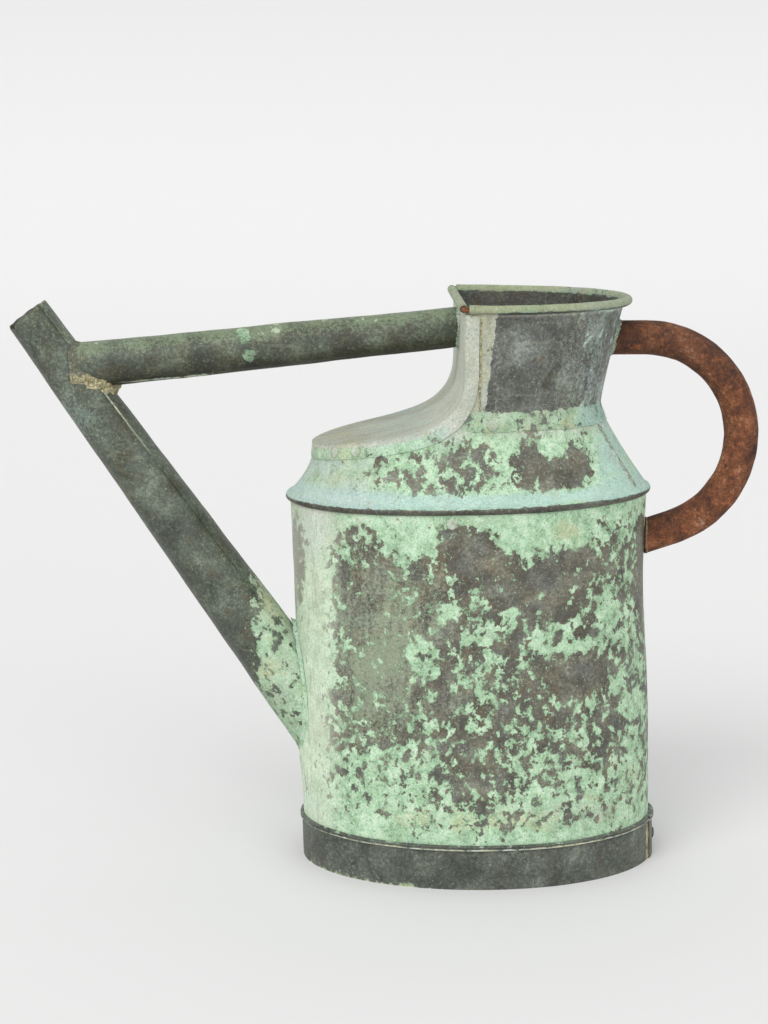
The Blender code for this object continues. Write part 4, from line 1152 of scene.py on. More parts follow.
def make_rim_wire(paint):
    """The iron wire that the rim is rolled round, bare where it turns the two corners."""
    rim = neck_oval(RIM_HEIGHT)
    points = []
    steps = 168
    for step in range(steps + 1):
        angle = wire_angle() * (2 * step / steps - 1)
        points.append(rim.at(angle, FLANGE_LAYER) + plan_normal(rim, angle) * BEAD_INNER)
    end = points[-1] - Vector((RIM_WIRE_BEND / 4, 0.0, 0.0))
    bend_x = end.x - WIRE_LINE_X
    bend_y = end.y - neck_oval(RIM_HEIGHT).half_depth_at(PANEL_X)
    corner = Vector((end.x, end.y - bend_y, RIM_HEIGHT))
    bend = [
        corner + Vector((-bend_x * math.sin(turn), bend_y * math.cos(turn), 0.0))
        for turn in [math.radians(9) * step for step in range(11)]
    ]
    mirrored = [Vector((point.x, -point.y, point.z)) for point in reversed(bend)]
    straight = [bend[-1].lerp(mirrored[0], step / 40) for step in range(1, 40)]
    centres = [dented(point) for point in points + bend + straight + mirrored]

    def radius_at(place, turn):
        return RIM_WIRE_RADIUS * (1.0 + 0.10 * rough(centres[place] * 260 + Vector((turn, 0.0, 0.0)), 1.0, 2.0))

    mesh = rod_mesh("wire", centres, radius_at, 16, True)
    return add_piece("wire", mesh, paint, ["rim_wire"])


# The spout, the strut and the handle

LAP_STEP = 0.0005


def make_spout(paint):
    """The spout, a tapered tube with a lapped seam, cut to the curve of the body."""
    column = math.radians(3)
    angles = lap_angles(SPOUT_LAP_EDGE, SPOUT_LAP, column)
    offsets = [-LAP_STEP * lap_offset(angle, SPOUT_LAP_EDGE, SPOUT_COLUMN / 2) for angle in angles]
    rows = 130
    outer = [[] for _ in range(rows)]
    inner = [[] for _ in range(rows)]
    for angle, out in zip(angles, offsets):
        ray = SPOUT_UP * math.cos(angle) + ACROSS * math.sin(angle)
        for grid, less in ((outer, 0.0), (inner, SHEET)):
            start = SPOUT_TIP + SPOUT_AXIS * torn(angle)
            start += ray * (spout_radius(torn(angle)) + out - less)
            far = SPOUT_TIP + SPOUT_AXIS * SPOUT_LENGTH * 1.5
            far += ray * (spout_radius(SPOUT_LENGTH * 1.5) + out - less)
            way = far - start
            end = hit(start, way.normalized(), outside_body, GAP, way.length)
            for row in range(rows):
                point = start.lerp(end, row / (rows - 1))
                lump = 0.0006 * rough(point, 22.0, 6.1) + 0.00025 * rough(point, 70.0, 1.3)
                grid[row].append(point + ray * lump)
    mesh = sheet_mesh("pourer", outer, inner)
    return add_piece("pourer", mesh, paint, ["spout"], spout_field)


def strut_radius(along):
    return lerp(STRUT_NECK_RADIUS, STRUT_SPOUT_RADIUS, along / STRUT_LENGTH)


def strut_ray(angle):
    return STRUT_UP * math.cos(angle) + ACROSS * math.sin(angle)


STRUT_LIP = 0.0016


def make_strut(paint):
    """The strut, a lapped tube cut to the panel at one end and to the spout at the other."""
    column = math.radians(3)
    angles = lap_angles(STRUT_LAP_EDGE, STRUT_LAP, column)
    rows = 110
    outer = [[] for _ in range(rows)]
    inner = [[] for _ in range(rows)]
    taper = (STRUT_SPOUT_RADIUS - STRUT_NECK_RADIUS) / STRUT_LENGTH
    for angle in angles:
        out = -LAP_STEP * lap_offset(angle, STRUT_LAP_EDGE, STRUT_COLUMN)
        ray = strut_ray(angle)
        edge = max(0.0, 1.0 - (angle - STRUT_LAP_EDGE) / math.radians(26)) ** 1.6
        for grid, less in ((outer, 0.0), (inner, SHEET)):
            middle = STRUT_START + STRUT_AXIS * STRUT_LENGTH / 2
            middle += ray * (strut_radius(STRUT_LENGTH / 2) + out - less)
            way = (STRUT_AXIS + ray * taper).normalized()
            near = hit(middle, -way, outside_panel, GAP, STRUT_LENGTH)
            far = hit(middle, way, outside_spout, GAP, STRUT_LENGTH)
            for row in range(rows):
                point = near.lerp(far, row / (rows - 1))
                lump = 0.0005 * rough(point, 24.0, 9.1) + 0.0002 * rough(point, 70.0, 4.3)
                share = row / (rows - 1)
                lump += STRUT_LIP * edge * math.exp(-(((share - 0.76) / 0.13) ** 2))
                lump += 0.3 * STRUT_LIP * edge * rough(point, 90.0, 2.6)
                grid[row].append(point + ray * lump)
    mesh = sheet_mesh("brace", outer, inner)
    return add_piece("brace", mesh, paint, ["strut_tube"], strut_field)


def handle_path(steps):
    """Centre points and directions along the handle, from the neck round to the body."""
    path = []
    for step in range(steps + 1):
        turn = lerp(math.pi / 2, HANDLE_BEND_END, step / steps)
        spot = Vector((math.cos(turn), 0.0, math.sin(turn))) * HANDLE_BEND_RADIUS
        path.append((HANDLE_CENTRE + spot, Vector((math.sin(turn), 0.0, -math.cos(turn)))))
    return path


def make_handle(paint):
    """The bent iron handle, an open tube cut to the neck and to the body."""
    sides = 72
    path = handle_path(150)
    outer, inner = [], []
    top_way, foot_way = -path[0][1], path[-1][1]

    def ring(spot, ahead, radius):
        up = ahead.cross(ACROSS)
        made = []
        for k in range(sides):
            ray = up * math.cos(TURN * k / sides) + ACROSS * math.sin(TURN * k / sides)
            point = spot + ray * radius
            lump = 0.00035 * rough(point, 60.0, 7.7) + 0.00022 * rough(point, 160.0, 1.9)
            made.append(point + ray * lump)
        return made

    for grid, radius in ((outer, HANDLE_RADIUS), (inner, HANDLE_RADIUS - HANDLE_WALL)):
        rings = [ring(spot, ahead, radius) for spot, ahead in path]
        top = [hit(point, top_way, outside_neck, -0.0008, HANDLE_CUT_REACH) for point in rings[0]]
        foot = [hit(point, foot_way, outside_body, -0.0012, HANDLE_CUT_REACH) for point in rings[-1]]
        tops, feet = [], []
        for step in range(8):
            tops.append([far.lerp(near, step / 8) for far, near in zip(top, rings[0])])
            feet.append([near.lerp(far, (step + 1) / 8) for near, far in zip(rings[-1], foot)])
        grid.extend([*tops, *rings, *feet])
    mesh = sheet_mesh("grip", outer, inner, True)
    return add_piece("grip", mesh, paint, ["handle_tube"], rust_field)


# Solder and rivets

def solder_fillet(
    name, node, start, way, ray_at, radius, reach, climb, outside, paint, lumps, seed, fields, heavy=1.0
):
    """Solder smeared in the corner between a tube's end and the surface that it meets."""
    sides = 160
    across = 14
    outer, inner = [], []
    for side in range(sides):
        angle = TURN * side / sides
        ray = ray_at(angle)
        at = Vector((math.cos(angle), math.sin(angle), 0.0))
        low = lerp(1.0, heavy, ease((-math.cos(angle) + 0.2) / 1.2))
        wide = 1.0 + 0.40 * rough(at, 1.6, seed) + 0.35 * rough(at, 5.0, seed + 3) + 0.25 * rough(at, 15.0, seed)
        high = 1.0 + 0.40 * rough(at, 1.7, seed + 7) + 0.40 * rough(at, 6.0, seed + 9) + 0.25 * rough(at, 17.0, seed)
        wide = low * reach * max(wide, 0.25)
        high = low * climb * max(high, 0.25)
        corner = hit(start + ray * radius, way, outside, 0.0, SOLDER_REACH)
        on_tube = corner - way * high + ray * 0.0001
        on_face = hit(start + ray * (radius + wide), way, outside, 0.0001, SOLDER_REACH)
        bulge = corner.lerp((on_tube + on_face) / 2, 0.62)
        row = []
        for step in range(across + 1):
            share = step / across
            rest = 1.0 - share
            point = on_tube * rest * rest + bulge * 2 * rest * share + on_face * share * share
            proud = low * lumps * math.sin(math.pi * share)
            lump = proud * (0.5 + 0.9 * rough(point, 170.0, seed) + 0.5 * rough(point, 420.0, seed))
            row.append(point + (ray - way).normalized() * lump)
        outer.append(row)
        inside = corner - ray * 0.0004 + way * 0.0004
        inner.append([inside.copy() for _ in row])
    outer.append(outer[0])
    inner.append(inner[0])
    mesh = sheet_mesh(name, outer, inner)
    return add_piece(name, mesh, paint, [node], fields, 80)


def make_fillets(copper, solder, grey):
    """The solder at the tubes' ends. At the spout's root it is green with the rest."""
    solder_fillet(
        "solder_root", "solder_spout_root", SPOUT_ROOT - SPOUT_AXIS * SPOUT_SOLDER_START, SPOUT_AXIS,
        lambda angle: SPOUT_UP * math.cos(angle) + ACROSS * math.sin(angle),
        spout_radius(SPOUT_LENGTH) + 0.0006, 0.0026, 0.0048, outside_body,
        copper, 0.0003, 1.1, root_field,
    )
    solder_fillet(
        "solder_brace_far", "solder_strut_spout", STRUT_START + STRUT_AXIS * (STRUT_LENGTH - STRUT_SOLDER_START),
        STRUT_AXIS, strut_ray, STRUT_SPOUT_RADIUS - 0.0002, 0.0026, 0.0028, outside_spout,
        solder, 0.0009, 5.2, joint_field, 2.6,
    )
    solder_fillet(
        "solder_brace_near", "solder_strut_neck", STRUT_START + STRUT_AXIS * STRUT_SOLDER_START,
        -STRUT_AXIS, strut_ray, STRUT_NECK_RADIUS + 0.0001, 0.0018, 0.0022, outside_panel,
        grey, 0.0003, 2.7, plain_field,
    )
    path = handle_path(20)
    top = ("solder_grip_top", "solder_handle_top", path[0][0], -path[0][1], outside_neck)
    foot = ("solder_grip_foot", "solder_handle_foot", path[-1][0], path[-1][1], outside_body)
    ends = (
        (*top, 0.0024, grey, top_joint_field),
        (*foot, 0.0006, solder, foot_joint_field),
    )
    for name, node, spot, way, outside, reach, paint, stained in ends:
        up = way.cross(ACROSS)
        solder_fillet(
            name, node, spot - way * 0.004, way,
            lambda angle, up=up: up * math.cos(angle) + ACROSS * math.sin(angle),
            HANDLE_RADIUS, reach, reach, outside, paint, 0.0003, 6.6, stained,
        )


def solder_strip(name, node, place, sections, paint, height, ragged, seed):
    """A low strip of solder. place gives its points from (share along, share across, height)."""
    columns = 12
    outer, inner = [], []
    for row in range(sections + 1):
        along = row / sections
        left = ragged * rough(Vector((along * 30, 0.0, 0.0)), 1.0, seed)
        right = 1.0 + ragged * rough(Vector((along * 30, 5.0, 0.0)), 1.0, seed + 2)
        end = ease(min(along, 1.0 - along) / 0.04)
        outer_row, inner_row = [], []
        for column in range(columns + 1):
            across = lerp(left, right, column / columns)
            spot = Vector((along * 46, across * 2.2, 0.0))
            crown = math.sin(math.pi * column / columns) ** 0.6 * end
            high = height * crown * (0.75 + 0.45 * rough(spot, 1.0, seed) + 0.35 * rough(spot, 2.7, seed))
            outer_row.append(dented(place(along, across, max(high, 0.0) + 0.00005)))
            inner_row.append(dented(place(along, across, -0.0002)))
        outer.append(outer_row)
        inner.append(inner_row)
    mesh = sheet_mesh(name, outer, inner)
    add_piece(name, mesh, paint, [node], plain_field, 80)


def make_strips(paint, grey):
    """The solder over the shoulder's seam, beside the foot band's lap and along the panel."""

    def on_shoulder(along, across, height):
        angle = SHOULDER_SEAM_ANGLE + (across - 0.5) * STRIP_WIDTH / (BODY_LENGTH_TOP / 2)
        reach = 1.0 - (NECK_FLANGE + 2 * GAP) / shoulder_height(angle)
        return shoulder_point(angle, lerp(0.03, reach, along), height)

    def on_foot(along, across, height):
        back = GAP + (1.0 - across) * STRIP_WIDTH
        angle = FOOT_LAP_EDGE - back / (BODY_LENGTH_FOOT / 2)
        level = lerp(0.0, FOOT_HEIGHT - 4 * FOOT_BEAD, along)
        return body_oval(level).at(angle, GAP + FOOT_SHEET + height)

    solder_strip("strip_cone", "solder_shoulder_seam", on_shoulder, 90, grey, 0.0014, 0.35, 1.0)
    solder_strip("strip_foot", "solder_foot_lap", on_foot, 50, paint, 0.0010, 0.20, 4.0)
    for side, word in ((-1, "front"), (1, "back")):

        def on_neck(along, across, height, side=side):
            level = lerp(RIM_HEIGHT - 2 * BEAD_OUTER, WAIST_HEIGHT + 2 * SHEET, along)
            x = PANEL_X + PANEL_SIDE_FLANGE + 0.0001 + across * STRIP_WIDTH / 4
            depth = neck_oval(level).half_depth_at(x) + FLANGE_LAYER + height
            return Vector((x, side * depth, level))

        solder_strip(f"strip_neck_{word}", f"solder_panel_{word}", on_neck, 110, paint, 0.0009, 0.30, 7.0)


def make_rivet(name, node, surface, normal, over, paint, seed, fields=stud_field):
    """A domed rivet head, hammered a little flat."""
    sides = 28
    top = surface + normal * over
    first = normal.orthogonal().normalized()
    second = normal.cross(first)
    rings = []
    for step in range(9):
        turn = math.pi / 2 * step / 8
        flat = RIVET_HEAD_HEIGHT * 0.9 * math.sin(turn) ** 0.8
        ring = []
        for side in range(sides):
            angle = TURN * side / sides
            uneven = 1.0 + 0.06 * rough(Vector((math.cos(angle), math.sin(angle), step)), 1.5, seed)
            radius = RIVET_HEAD_RADIUS * uneven * max(math.cos(turn), 0.03)
            ring.append(top + (first * math.cos(angle) + second * math.sin(angle)) * radius + normal * flat)
        rings.append(ring)
    low = [point - normal * 0.0010 for point in rings[0]]
    rings = [[dented(point) for point in ring] for ring in [low, *rings]]
    add_piece(name, turned_mesh(name, rings), paint, [node], fields, 80)


def shoulder_normal(angle, share):
    step = 0.02
    up = shoulder_point(angle, share + step) - shoulder_point(angle, share - step)
    sideways = shoulder_point(angle + step, share) - shoulder_point(angle - step, share)
    return sideways.cross(up).normalized()


def make_rivets(paint):
    """Rivets through the flanges, under the seam and through the lap of the foot band."""
    for side, word in ((-1, "front"), (1, "back")):
        for kind, angle, drop in (
            ("neck", NECK_RIVET_ANGLE, NECK_RIVET_DROP),
            ("toe", TOE_RIVET_ANGLES[0], TOE_RIVET_DROP),
            ("panel", TOE_RIVET_ANGLES[1], TOE_RIVET_DROP),
        ):
            share = 1.0 - drop / shoulder_height(angle)
            surface = shoulder_point(side * angle, share)
            normal = shoulder_normal(side * angle, share)
            node = f"{kind}_rivet_{word}"
            make_rivet(f"stud_{kind}_{word}", node, surface, normal, FLANGE_LAYER, paint, angle)
        height = seam_oval().at(SEAM_RIVET_ANGLE).z - SEAM_RIVET_DROP
        oval = body_oval(height)
        surface = oval.at(side * SEAM_RIVET_ANGLE)
        normal = plan_normal(oval, side * SEAM_RIVET_ANGLE)
        make_rivet(f"stud_seam_{word}", f"seam_rivet_{word}", surface, normal, 0.0, paint, 3.0)
    oval = body_oval(FOOT_RIVET_HEIGHT)
    surface = oval.at(FOOT_RIVET_ANGLE)
    normal = plan_normal(oval, FOOT_RIVET_ANGLE)
    over = 2 * (FOOT_SHEET + GAP)
    make_rivet("stud_foot", "foot_rivet", surface, normal, over, paint, 6.0, foot_stud_field)

# Paints

class Paint:
    """A material with short calls for its nodes. A call takes numbers or other nodes' outputs."""

    def __init__(self, name):
        self.material = bpy.data.materials.new(name)
        self.material.use_nodes = True
        self.tree = self.material.node_tree
        self.shader = self.tree.nodes["Principled BSDF"]
        coordinates = self.tree.nodes.new("ShaderNodeTexCoord")
        self.place = coordinates.outputs["Object"]

    def feed(self, socket, value):
        if isinstance(value, bpy.types.NodeSocket):
            self.tree.links.new(value, socket)
        elif isinstance(value, (tuple, list)) and len(socket.default_value) == 4 and len(value) == 3:
            socket.default_value = (*value, 1.0)
        else:
            socket.default_value = value

    def math(self, operation, a, b=0.0, c=0.0, clamp=False):
        node = self.tree.nodes.new("ShaderNodeMath")
        node.operation = operation
        node.use_clamp = clamp
        for socket, value in zip(node.inputs, (a, b, c)):
            self.feed(socket, value)
        return node.outputs[0]

    def add(self, *values):
        total = values[0]
        for value in values[1:]:
            total = self.math("ADD", total, value)
        return total

    def times(self, a, b):
        return self.math("MULTIPLY", a, b)

    def minus(self, a, b):
        return self.math("SUBTRACT", a, b)

    def step(self, value, low, high):
        """0 below low, 1 above high and smooth between."""
        node = self.tree.nodes.new("ShaderNodeMapRange")
        node.interpolation_type = "SMOOTHSTEP"
        self.feed(node.inputs["Value"], value)
        node.inputs["From Min"].default_value = low
        node.inputs["From Max"].default_value = high
        return node.outputs[0]

    def mix(self, share, a, b, kind="MIX"):
        node = self.tree.nodes.new("ShaderNodeMix")
        node.data_type = "RGBA"
        node.blend_type = kind
        self.feed(node.inputs[0], share)
        self.feed(node.inputs[6], a)
        self.feed(node.inputs[7], b)
        return node.outputs[2]

    def ramp(self, value, *stops):
        """Colours by value, from (place, colour) stops."""
        node = self.tree.nodes.new("ShaderNodeValToRGB")
        self.feed(node.inputs[0], value)
        elements = node.color_ramp.elements
        while len(elements) < len(stops):
            elements.new(0.5)
        for element, (spot, colour) in zip(elements, stops):
            element.position = spot
            element.color = (*colour, 1.0)
        return node.outputs[0]

    def noise(self, scale, detail=4.0, rough=0.55, bend=0.0, vector=None, seed=0.0):
        node = self.tree.nodes.new("ShaderNodeTexNoise")
        node.noise_dimensions = "4D"
        self.feed(node.inputs["Vector"], vector or self.place)
        node.inputs["W"].default_value = seed
        node.inputs["Scale"].default_value = scale
        node.inputs["Detail"].default_value = detail
        node.inputs["Roughness"].default_value = rough
        node.inputs["Distortion"].default_value = bend
        return node.outputs[0]

    def cells(self, scale, spread=1.0, feature="F1", vector=None):
        node = self.tree.nodes.new("ShaderNodeTexVoronoi")
        node.feature = feature
        self.feed(node.inputs["Vector"], vector or self.place)
        node.inputs["Scale"].default_value = scale
        node.inputs["Randomness"].default_value = spread
        return node.outputs["Distance"]

    def stretched(self, x, y, z):
        node = self.tree.nodes.new("ShaderNodeVectorMath")
        node.operation = "MULTIPLY"
        self.feed(node.inputs[0], self.place)
        node.inputs[1].default_value = (x, y, z)
        return node.outputs[0]

    def joined(self, x, y, z):
        node = self.tree.nodes.new("ShaderNodeCombineXYZ")
        for socket, value in zip(node.inputs, (x, y, z)):
            self.feed(socket, value)
        return node.outputs[0]

    def axis(self, name):
        node = self.tree.nodes.new("ShaderNodeSeparateXYZ")
        self.feed(node.inputs[0], self.place)
        return node.outputs[name]

    def field(self, name):
        node = self.tree.nodes.new("ShaderNodeAttribute")
        node.attribute_type = "GEOMETRY"
        node.attribute_name = name
        return node.outputs["Fac"]

    def finish(self, colour, roughness, metallic, height=None, depth=0.001, strength=1.0):
        self.feed(self.shader.inputs["Base Color"], colour)
        self.feed(self.shader.inputs["Roughness"], roughness)
        self.feed(self.shader.inputs["Metallic"], metallic)
        if height is not None:
            bump = self.tree.nodes.new("ShaderNodeBump")
            bump.inputs["Strength"].default_value = strength
            bump.inputs["Distance"].default_value = depth
            self.feed(bump.inputs["Height"], height)
            self.feed(self.shader.inputs["Normal"], bump.outputs[0])
        return self.material


GAIN = 0.97


def tone(red, green, blue):
    """A paint's linear colour for the tint, 0 to 255, that it shows in this light."""
    return tuple(GAIN * ((value / 255 + 0.055) / 1.055) ** 2.4 for value in (red, green, blue))


def patina_paint():
    """Old copper under a crust of pale verdigris, worn through to dull metal in small islands."""
    paint = Paint("old_copper")
    bare = paint.field("bare")
    lace = paint.field("lace")
    pale = paint.field("pale")
    tan = paint.field("tan")
    blue = paint.field("blue")
    cool = paint.field("cool")
    light = paint.field("light")
    wash = paint.field("wash")
    lean = paint.field("lean")
    scored = paint.field("scored")
    olive = paint.field("olive")

    broad = paint.noise(58.0, 3.0, 0.5, 0.2, seed=1.0)
    island = paint.noise(165.0, 3.5, 0.56, 0.25, paint.stretched(1.0, 1.0, 0.88), seed=2.0)
    fine = paint.noise(430.0, 3.0, 0.6, 0.2, seed=3.0)
    speck = paint.noise(900.0, 2.0, 0.6, 0.0, seed=4.0)
    cloud = paint.noise(34.0, 4.0, 0.55, 0.4, seed=5.0)
    shade = paint.noise(95.0, 5.0, 0.62, 0.5, seed=6.0)
    stain = paint.noise(52.0, 5.0, 0.62, 0.5, seed=8.0)
    dusty = paint.noise(520.0, 3.0, 0.6, 0.0, seed=9.0)
    upright_streak = paint.noise(190.0, 4.0, 0.62, 0.0, paint.stretched(1.0, 1.0, 0.14), seed=7.0)
    slope_streak = paint.noise(190.0, 4.0, 0.6, 0.2, paint.stretched(0.12, 1.0, 0.12), seed=12.0)
    slope_streak = paint.math("MULTIPLY_ADD", slope_streak, 0.5, 0.27)
    streak = paint.mix(lean, upright_streak, slope_streak)
    off_fine = paint.minus(fine, 0.5)
    off_speck = paint.minus(speck, 0.5)
    off_cloud = paint.minus(cloud, 0.5)

    uneven = paint.add(
        paint.times(paint.minus(broad, 0.5), 0.60),
        paint.times(paint.minus(island, 0.5), 2.00),
        paint.times(off_fine, 0.80),
        paint.times(off_speck, 0.25),
    )
    value = paint.math("MULTIPLY_ADD", uneven, lace, bare)
    metal = paint.step(value, 0.000, 0.035)
    rim = paint.times(paint.step(value, -0.13, 0.0), paint.minus(1.0, metal))

    green = paint.ramp(
        paint.add(shade, paint.times(off_fine, 0.9), paint.times(off_speck, 0.5)),
        (0.28, tone(138, 168, 136)),
        (0.42, tone(166, 202, 164)),
        (0.55, tone(192, 226, 190)),
        (0.72, tone(222, 242, 217)),
    )
    grey = paint.ramp(
        paint.add(streak, paint.times(off_cloud, 0.5), paint.times(off_fine, 0.35)),
        (0.30, tone(158, 164, 148)),
        (0.50, tone(192, 197, 182)),
        (0.70, tone(220, 225, 213)),
    )
    pallor = paint.step(paint.add(pale, paint.times(off_cloud, 0.9), paint.times(off_fine, 0.5)), 0.20, 0.75)
    crust = paint.mix(pallor, green, grey)
    bluish = paint.step(paint.add(blue, paint.times(off_cloud, 1.3), paint.times(off_fine, 0.6)), 0.25, 0.85)
    crust = paint.mix(paint.times(bluish, 0.62), crust, tone(176, 212, 210))
    earthy = paint.add(tan, paint.times(paint.minus(stain, 0.5), 2.2), paint.times(off_fine, 1.2))
    crust = paint.mix(paint.times(paint.step(earthy, 0.30, 0.85), 0.55), crust, tone(204, 197, 152))
    crust = paint.mix(paint.times(rim, 0.50), crust, tone(112, 134, 102))
    smudge = paint.step(paint.add(cloud, paint.times(off_fine, 0.7)), 0.54, 0.74)
    crust = paint.mix(paint.times(smudge, 0.30), crust, tone(142, 146, 118))
    pits = paint.step(paint.add(fine, paint.times(off_speck, 0.8)), 0.58, 0.66)
    crust = paint.mix(paint.times(pits, 0.40), crust, tone(116, 132, 106))
    crust = paint.mix(paint.times(paint.step(dusty, 0.58, 0.67), 0.50), crust, tone(236, 243, 230))
    line = paint.noise(420.0, 3.0, 0.6, 0.0, paint.stretched(1.0, 1.0, 0.09), seed=14.0)
    line = paint.step(paint.add(line, paint.times(scored, 0.05)), 0.60, 0.68)
    crust = paint.mix(paint.times(line, paint.times(scored, 0.60)), crust, tone(124, 136, 116))

    tarnish = paint.add(stain, paint.times(off_fine, 0.6), paint.times(off_speck, 0.3))
    warm = paint.ramp(
        tarnish,
        (0.30, tone(76, 73, 64)),
        (0.46, tone(98, 94, 80)),
        (0.58, tone(120, 117, 99)),
        (0.74, tone(150, 149, 128)),
    )
    steel = paint.ramp(
        tarnish,
        (0.30, tone(76, 79, 74)),
        (0.46, tone(101, 104, 98)),
        (0.58, tone(122, 126, 118)),
        (0.74, tone(158, 165, 156)),
    )
    chill = paint.step(paint.add(cool, paint.times(paint.minus(broad, 0.5), 1.2)), 0.2, 0.8)
    dull = paint.mix(chill, warm, steel)
    brown = paint.step(paint.add(shade, paint.times(cool, -0.08)), 0.48, 0.64)
    dull = paint.mix(paint.times(brown, 0.40), dull, tone(116, 92, 62))
    film = paint.mix(paint.step(blue, 0.25, 0.75), tone(166, 180, 152), tone(176, 192, 188))
    haze = paint.add(
        wash,
        paint.times(paint.minus(streak, 0.5), 1.0),
        paint.times(off_fine, 1.1),
        paint.times(off_speck, 0.6),
        paint.times(off_cloud, 1.0),
    )
    dull = paint.mix(paint.times(paint.step(haze, 0.22, 0.80), 0.70), dull, film)
    scratch = paint.noise(240.0, 3.0, 0.6, 0.0, paint.stretched(0.10, 0.10, 1.0), seed=10.0)
    dull = paint.mix(paint.times(paint.step(scratch, 0.62, 0.70), 0.25), dull, tone(176, 180, 164))
    speckle = paint.noise(640.0, 2.0, 0.5, 0.0, seed=11.0)
    dull = paint.mix(paint.times(paint.step(speckle, 0.62, 0.68), 0.45), dull, tone(186, 200, 176))

    mossy = paint.mix(1.0, dull, tone(228, 242, 222), "MULTIPLY")
    dull = paint.mix(olive, dull, mossy)
    colour = paint.mix(metal, crust, dull)
    # The light field darkens the colour below 0.5 and lifts it towards pale cream above 0.5: painted shade and
    # painted highlight where the fields set them so, and the part's own darker or paler tone elsewhere.
    darker = paint.ramp(light, (0.0, (0.20, 0.20, 0.20)), (0.5, (0.92, 0.92, 0.92)), (1.0, (1.0, 1.0, 1.0)))
    colour = paint.mix(1.0, colour, darker, "MULTIPLY")
    glow = paint.step(light, 0.5, 1.0)
    colour = paint.mix(paint.times(glow, 0.6), colour, tone(226, 228, 210))
    grain = paint.noise(780.0, 2.0, 0.7, 0.0, seed=13.0)
    grit = paint.ramp(grain, (0.30, (0.80, 0.80, 0.80)), (0.50, (0.98, 0.98, 0.98)), (0.70, (1.13, 1.13, 1.13)))
    colour = paint.mix(1.0, colour, grit, "MULTIPLY")

    roughness = paint.add(paint.math("MULTIPLY_ADD", metal, -0.34, 0.84), paint.times(paint.minus(stain, 0.5), 0.25))
    height = paint.add(
        paint.times(paint.minus(1.0, metal), 0.55),
        paint.times(shade, 0.30),
        paint.times(fine, 0.35),
        paint.times(broad, 0.45),
    )
    return paint.finish(colour, roughness, paint.times(metal, 0.22), height, 0.0007, 0.8)


def rust_paint():
    """Iron with a coat of red-brown rust, pitted and flaked."""
    paint = Paint("rust")
    cloud = paint.noise(55.0, 6.0, 0.65, 0.5, seed=21.0)
    fine = paint.noise(380.0, 5.0, 0.65, 0.4, seed=22.0)
    flake = paint.noise(140.0, 4.0, 0.6, 0.8, seed=23.0)
    colour = paint.ramp(
        paint.add(paint.times(cloud, 0.55), paint.times(flake, 0.25), paint.times(fine, 0.20)),
        (0.37, tone(50, 32, 24)),
        (0.45, tone(88, 52, 34)),
        (0.52, tone(118, 71, 43)),
        (0.61, tone(160, 102, 68)),
    )
    ash = paint.step(paint.add(fine, paint.times(paint.minus(cloud, 0.5), 0.6)), 0.60, 0.68)
    colour = paint.mix(paint.times(ash, 0.42), colour, tone(158, 142, 130))
    dark = paint.step(paint.field("stain"), 0.0, 1.0)
    colour = paint.mix(paint.times(dark, 0.45), colour, tone(58, 40, 30))
    bright = paint.step(flake, 0.60, 0.70)
    colour = paint.mix(paint.times(bright, 0.35), colour, tone(176, 98, 58))
    grain = paint.noise(760.0, 2.0, 0.7, 0.0, seed=24.0)
    grit = paint.ramp(grain, (0.30, (0.50, 0.50, 0.50)), (0.50, (0.97, 0.97, 0.97)), (0.70, (1.4, 1.4, 1.4)))
    colour = paint.mix(1.0, colour, grit, "MULTIPLY")
    height = paint.add(paint.times(cloud, 0.4), paint.times(flake, 0.6), paint.times(fine, 0.6))
    return paint.finish(colour, 0.88, 0.05, height, 0.0010, 0.9)


def solder_paint(name, low, high, seed):
    """Lumpy solder, dull and stained, with painted shade in the thin furrows pressed into it."""
    paint = Paint(name)
    cloud = paint.noise(180.0, 5.0, 0.6, 0.5, seed=seed)
    fine = paint.noise(640.0, 3.0, 0.6, 0.0, seed=seed + 1)
    colour = paint.ramp(paint.add(cloud, paint.times(paint.minus(fine, 0.5), 0.5)), (0.32, low), (0.62, high))
    blotch = paint.times(paint.minus(cloud, 0.5), 1.8)
    stain = paint.step(paint.add(paint.field("stain"), blotch, paint.times(paint.minus(fine, 0.5), 0.8)), 0.3, 0.7)
    colour = paint.mix(paint.times(stain, 0.85), colour, tone(104, 110, 98))
    # Thin furrows, pressed into the height and painted darker: painted shade in the recesses.
    shaded_groove = paint.noise(260.0, 4.0, 0.6, 1.5, seed=seed + 2)
    shaded_groove = paint.math("ABSOLUTE", paint.minus(shaded_groove, 0.5))
    shaded_groove = paint.minus(1.0, paint.step(shaded_groove, 0.0, 0.05))
    colour = paint.mix(paint.times(shaded_groove, 0.60), colour, tone(88, 82, 64))
    height = paint.add(cloud, paint.times(fine, 0.6), paint.times(shaded_groove, -0.4))
    return paint.finish(colour, 0.62, 0.15, height, 0.0008, 0.9)

def floor_paint():
    """Pale paper, with painted shade that makes it a little darker where it curves up towards the light."""
    paint = Paint("pale_floor")
    level = paint.axis("Z")
    # Painted shade: the paper's colour is darker higher up the backdrop.
    paper = paint.ramp(level, (0.0, (0.79, 0.79, 0.788)), (0.35, (0.74, 0.74, 0.74)), (0.75, (0.68, 0.68, 0.68)))
    paint.feed(paint.shader.inputs["Base Color"], paper)
    paint.shader.inputs["Roughness"].default_value = 0.9
    return paint.material


# Floor, lights and camera

CAMERA_PLACE = Vector((-0.11317785, -1.66906061, 0.55607269))
CAMERA_PITCH = math.radians(10.52)
CAMERA_TURN = math.radians(-1.6)
CAMERA_LENS = 85.57
LIGHT_WIDTH = math.radians(38)


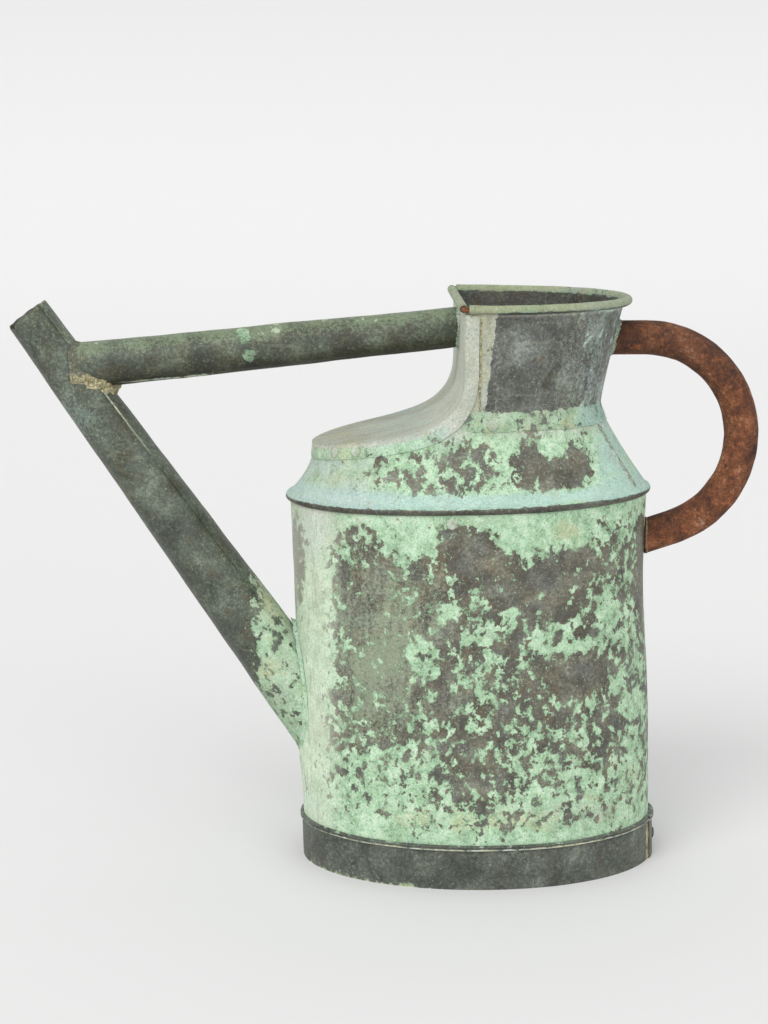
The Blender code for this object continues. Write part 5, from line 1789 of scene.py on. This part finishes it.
def make_floor():
    """A pale floor that curves up into a backdrop."""
    half, front, back, bend, top = 12.0, -12.0, 9.0, 6.0, 9.0
    profile = [(front, 0.0), (back - bend, 0.0)]
    for step in range(1, 25):
        turn = math.radians(90) * step / 24
        profile.append((back - bend + bend * math.sin(turn), bend - bend * math.cos(turn)))
    profile.append((back, top))
    vertices = [Vector((x, y, z)) for y, z in profile for x in (-half, half)]
    faces = [(2 * k, 2 * k + 1, 2 * k + 3, 2 * k + 2) for k in range(len(profile) - 1)]
    mesh = bpy.data.meshes.new("floor")
    mesh.from_pydata(vertices, [], faces)
    mesh.shade_smooth()
    floor = bpy.data.objects.new("floor", mesh)
    floor.data.materials.append(floor_paint())
    bpy.context.scene.collection.objects.link(floor)


def add_sun(name, towards, strength):
    """A broad soft light from far away, so that the floor is as bright everywhere."""
    light = bpy.data.lights.new(name, "SUN")
    light.energy = strength
    light.angle = LIGHT_WIDTH
    made = bpy.data.objects.new(name, light)
    made.location = towards
    made.rotation_euler = Vector(towards).to_track_quat("Z", "Y").to_euler()
    bpy.context.scene.collection.objects.link(made)


def make_lights():
    world = bpy.data.worlds.new("studio")
    world.use_nodes = True
    background = world.node_tree.nodes["Background"]
    background.inputs["Color"].default_value = (1.0, 1.0, 1.0, 1.0)
    background.inputs["Strength"].default_value = 0.76
    bpy.context.scene.world = world
    add_sun("key", (-1.1, -1.8, 1.8), 1.28)
    add_sun("fill", (1.2, -2.2, 0.8), 0.46)


def make_camera():
    camera = bpy.data.cameras.new("camera")
    camera.lens = CAMERA_LENS
    camera.sensor_width = 36.0
    camera.sensor_fit = "AUTO"
    made = bpy.data.objects.new("camera", camera)
    made.location = CAMERA_PLACE + Vector((FOOT_X, 0.0, 0.0))
    made.rotation_euler = (math.pi / 2 - CAMERA_PITCH, 0.0, CAMERA_TURN)
    bpy.context.scene.collection.objects.link(made)
    bpy.context.scene.camera = made


def main():
    bpy.context.scene.view_settings.view_transform = "Standard"
    copper = patina_paint()
    rust = rust_paint()
    solder = solder_paint("yellow_solder", tone(122, 112, 80), tone(214, 206, 164), 31.0)
    grey = solder_paint("pale_solder", tone(130, 150, 132), tone(196, 212, 190), 41.0)
    make_body_wall(copper)
    make_foot_band(copper)
    make_bottom_plate(copper)
    make_shoulder(copper)
    make_neck_wall(copper)
    make_front_panel(copper)
    make_rim_wire(rust)
    make_spout(copper)
    make_strut(copper)
    make_handle(rust)
    make_fillets(copper, solder, grey)
    make_strips(solder, grey)
    make_rivets(copper)
    make_floor()
    make_lights()
    make_camera()


main()
